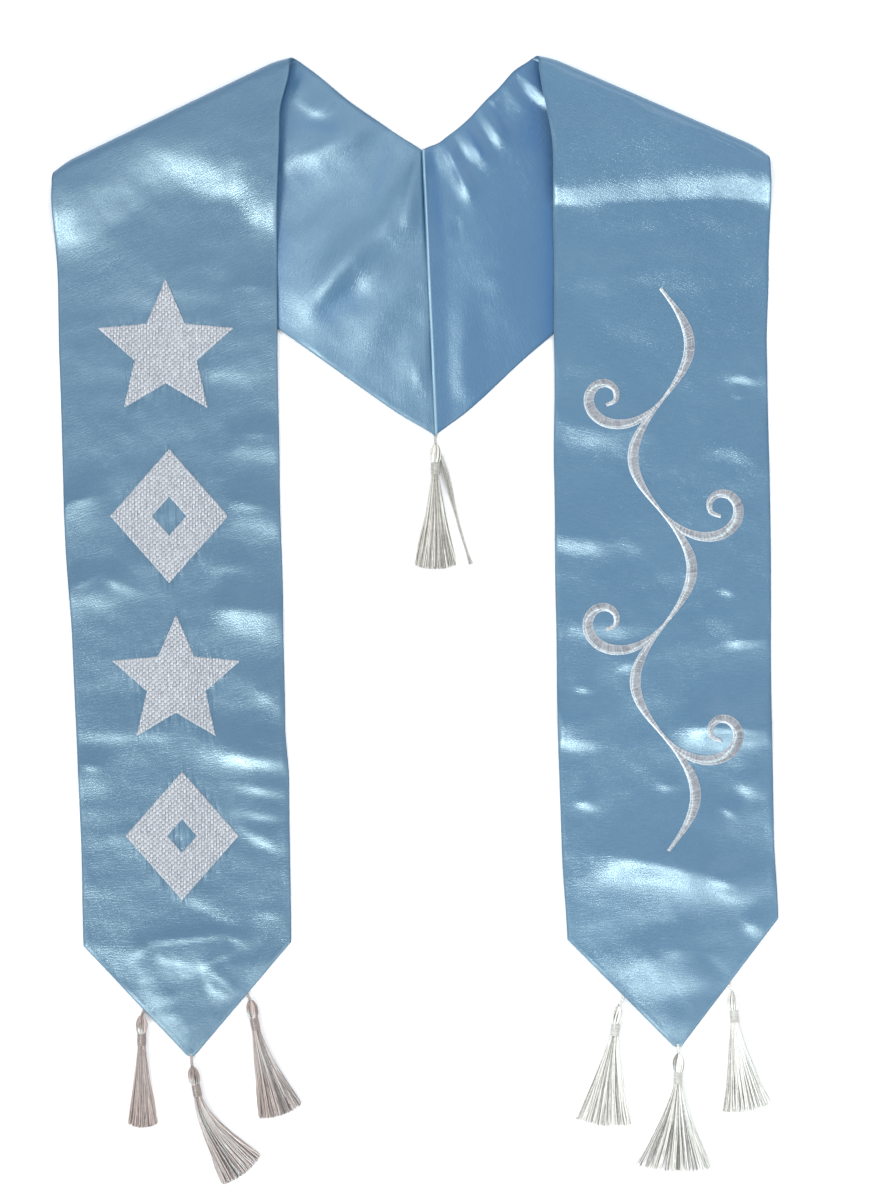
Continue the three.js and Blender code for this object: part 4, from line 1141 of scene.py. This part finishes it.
def make_loop(tassel, start, top, out, material):
    """The cord that the tassel hangs by: two plies twisted round each other."""
    head = np.array([*top, HEAD_DIAMETER / 2])
    foot = np.array([*(start - out * LOOP_ROOT), CLOTH_WALL / 2])
    middle = mix(foot, head, 0.5)
    middle[2] = mix(foot[2], head[2], 0.45)
    line, length = smooth_line(np.array([foot, middle, head]), 30)
    way = unit(head - foot)
    side = unit(np.cross(way, [0, 0, 1]))
    up = np.cross(side, way)
    threads = Threads()
    for ply in (0, math.pi):
        angle = np.linspace(0, length / PLY_TWIST * 2 * math.pi, len(line)) + ply
        path = line + PLY_OFFSET * (np.cos(angle)[:, None] * side + np.sin(angle)[:, None] * up)
        threads.add(path[None], PLY_HALF, PLY_HALF, 8, 0.45)
    threads.make(f"cord_{tassel.name}", material, f"loop_{tassel.name}")


# Materials


class Nodes:
    """Short ways to make a material's nodes and links."""

    def __init__(self, name):
        self.material = bpy.data.materials.new(name)
        self.material.use_nodes = True
        self.tree = self.material.node_tree

    def put(self, node, inputs):
        for name, value in inputs.items():
            socket = node.inputs[name.replace("_", " ") if isinstance(name, str) else name]
            if isinstance(value, bpy.types.NodeSocket):
                self.tree.links.new(value, socket)
            else:
                socket.default_value = (*value, 1) if socket.type == "RGBA" else value

    def add(self, kind, inputs, output=0, **settings):
        """An output of a new node, with inputs by name or number."""
        node = self.tree.nodes.new(f"ShaderNode{kind}")
        for name, value in settings.items():
            setattr(node, name, value)
        self.put(node, inputs)
        return node.outputs[output]

    def place(self):
        return self.add("TexCoord", {}, "Object")

    def attribute(self, name):
        return self.add("Attribute", {}, "Fac", attribute_name=name)

    def noise(self, vector, scale, detail=2, roughness=0.5):
        return self.add("TexNoise", dict(Vector=vector, Scale=scale, Detail=detail, Roughness=roughness))

    def stretch(self, vector, scale):
        return self.add("Mapping", dict(Vector=vector, Scale=scale))

    def ramp(self, value, low, high, to_low, to_high):
        return self.add("MapRange", dict(enumerate((value, low, high, to_low, to_high))))

    def blend(self, factor, a, b):
        return self.add("Mix", {0: factor, 6: a, 7: b}, 2, data_type="RGBA")  # 6, 7 and 2 are its colours

    def math(self, operation, a, b):
        return self.add("Math", {0: a, 1: b}, operation=operation)

    def bump(self, height, strength, distance, **normal):
        return self.add("Bump", dict(Height=height, Strength=strength, Distance=distance, **normal))

    def finish(self, **inputs):
        self.put(self.tree.nodes["Principled BSDF"], inputs)
        return self.material


def satin_material():
    m = Nodes("satin")
    place = m.add("UVMap", {}, uv_map="cloth")
    way = m.add("Tangent", {}, direction_type="UV_MAP", uv_map="cloth")
    grain = m.noise(m.stretch(place, (1, 1.2, 1)), 185, detail=1, roughness=0.6)
    gathers = m.noise(m.stretch(place, (1, 0.1, 1)), 46, detail=1)
    streaks = m.noise(m.stretch(place, (0.14, 1, 1)), 130, detail=2)
    slow = m.noise(m.stretch(place, (0.6, 1, 1)), 3.2, detail=3)
    tint = m.blend(m.ramp(slow, 0.34, 0.66, 0, 1), (0.046, 0.129, 0.223), (0.068, 0.163, 0.257))
    fleck = m.blend(m.ramp(streaks, 0.3, 0.7, 0, 1), (0.043, 0.126, 0.221), (0.068, 0.163, 0.256))
    colour = m.blend(0.5, tint, fleck)
    colour = m.blend(m.ramp(grain, 0.35, 0.65, 0, 0.24), colour, (0.12, 0.22, 0.31))
    # painted blue shade beside the fronts, in the back's hollows and over the right back
    colour = m.blend(m.attribute("deep"), colour, (0.021, 0.104, 0.238))
    # painted shade: the left front a little darker than the right
    colour = m.blend(m.math("MULTIPLY", m.attribute("dull"), 0.16), colour, (0, 0, 0))
    edge = m.attribute("edge")
    # painted shade: dark thin lines along the edges and beside the seam
    colour = m.blend(m.math("MULTIPLY", edge, 0.8), colour, (0.024, 0.082, 0.155))
    # painted highlight on the seam's bead
    colour = m.blend(m.math("MULTIPLY", m.attribute("bead"), 0.85), colour, (0.3, 0.46, 0.56))
    pucker = m.attribute("pucker")
    # painted shade in the valleys of the gathers beside the embroidery; the same gathers are also bumped below
    pucker_painted_shade = m.math("MULTIPLY", pucker, m.ramp(gathers, 0.36, 0.5, 0.35, 0))
    colour = m.blend(pucker_painted_shade, colour, (0.02, 0.07, 0.14))
    rough = m.math("ADD", m.ramp(grain, 0.3, 0.7, 0.33, 0.45), m.math("MULTIPLY", edge, 0.45))
    normal = m.bump(m.math("MULTIPLY", pucker, m.math("SUBTRACT", gathers, 0.5)), 1, 0.001)
    normal = m.bump(grain, 1, 0.00013, Normal=normal)
    normal = m.bump(streaks, 1, 0.00008, Normal=normal)
    return m.finish(
        Base_Color=colour, Roughness=rough, Normal=normal, IOR=1.55, Specular_IOR_Level=0.5,
        Anisotropic=0.7, Tangent=way, Sheen_Weight=0.05, Sheen_Roughness=0.35,
    )


def thread_material(name, dark, light, roughness, sheen, scale, lightest=0.8, specular=0.4):
    m = Nodes(name)
    fibre = m.noise(m.place(), scale)
    share = m.math("ADD", m.math("MULTIPLY", m.attribute("shade"), 0.7), m.math("MULTIPLY", fibre, 0.3))
    colour = m.blend(m.ramp(share, 0.15, lightest, 0, 1), dark, light)
    normal = m.bump(fibre, 0.3, 0.00005)
    return m.finish(
        Base_Color=colour, Roughness=roughness, Normal=normal, IOR=1.54, Sheen_Weight=sheen,
        Sheen_Roughness=0.4, Specular_IOR_Level=specular,
    )


def floor_material():
    m = Nodes("floor")
    colour = m.blend(m.noise(m.place(), 6), (0.96, 0.96, 0.96), (0.98, 0.98, 0.98))
    return m.finish(Base_Color=colour, Roughness=0.9, Specular_IOR_Level=0.1)


# The stage

CAMERA_HEIGHT = 2.2
VIEW_MIDDLE = (0.0158, 0.0099)
VIEW_HEIGHT = 0.582
SENSOR = 36
FLOOR_SIDE = 6
KEY_PLACE = (-1.39, -1.97, 2.4)


def add_light(name, place, aim, size, power, colour):
    data = bpy.data.lights.new(name, "AREA")
    data.shape = "RECTANGLE"
    data.size, data.size_y = size
    data.energy = power
    data.color = colour
    light = new_object(name, data)
    light.location = place
    light.rotation_euler = (aim - light.location).to_track_quat("-Z", "Y").to_euler()
    return light


def make_stage():
    world = bpy.data.worlds.new("studio")
    world.use_nodes = True
    sky = world.node_tree.nodes["Background"].inputs
    sky["Color"].default_value, sky["Strength"].default_value = (0.93, 0.96, 1, 1), 1.06
    bpy.context.scene.world = world
    middle = Vector((*VIEW_MIDDLE, 0))
    add_light("key", KEY_PLACE, middle, (1.3, 0.9), 45, (1, 1, 1))
    add_light("fill", (0.7, 1.5, 1.6), middle, (1.6, 1.0), 20, (0.95, 0.98, 1))
    glint = add_light("glint", KEY_PLACE, middle, (1.1, 0.7), 610, (0.7, 0.95, 0.98))
    glint.visible_diffuse = False
    camera = new_object("camera", bpy.data.cameras.new("camera"))
    camera.location = (*VIEW_MIDDLE, CAMERA_HEIGHT)
    camera.data.sensor_width = SENSOR
    camera.data.lens = SENSOR / 2 * CAMERA_HEIGHT / (VIEW_HEIGHT / 2)
    bpy.context.scene.camera = camera
    side = FLOOR_SIDE / 2 / MM
    corners = np.array([(-side, -side, 0), (side, -side, 0), (side, side, 0), (-side, side, 0)], float)
    floor = mesh_object("floor", corners - NAPE - (0, 0, 0.15), [(0, 1, 2, 3)], floor_material())
    bpy.context.scene.view_settings.view_transform = "Standard"


make_stage()
satin = satin_material()
stitches = thread_material("stitches", (0.42, 0.425, 0.46), (0.6, 0.605, 0.635), 0.4, 0.1, 900)
# the satin stitches' light end mostly shows as the painted highlight along the strokes' edges
satin_stitches = thread_material("satin_stitches", (0.195, 0.205, 0.235), (0.92, 0.95, 0.96), 0.3, 0.05, 900)
# One rayon for the tassels in three copies: the left tassels' copy is darker and warmer as painted shade, and
# the right ones' copy is lighter as painted light
RAYON = {half: thread_material(*look, 0.1, 700, lightest, 0.3) for half, *look, lightest in (
    ("back", "rayon", (0.16, 0.15, 0.13), (0.84, 0.81, 0.74), 0.32, 0.8),
    ("left", "rayon_warm", (0.14, 0.11, 0.1), (0.58, 0.47, 0.43), 0.34, 0.8),
    ("right", "rayon_light", (0.17, 0.16, 0.14), (0.86, 0.84, 0.78), 0.32, 0.55),
)}


def length_along(*edges):
    """The length of cloth along edges of the back and the front and round the fold between them."""
    first, last = (float(run_along(edge(np.linspace(0, 1, 200)))[-1]) for edge in edges)
    return first + math.pi * FOLD_RADIUS + last


for half, plan in PLAN.items():
    band = make_band(half, satin)
    # Lengths of the cloth along its inner and its outer edge, round the fold
    inner_length, outer_length = length_along(plan.neck, plan.inner), length_along(plan.back, plan.outer)

for motif in MOTIFS:
    make_motif(motif, stitches)
make_scroll(satin_stitches)
for tassel in TASSELS:
    make_tassel(tassel, RAYON[tassel.half])
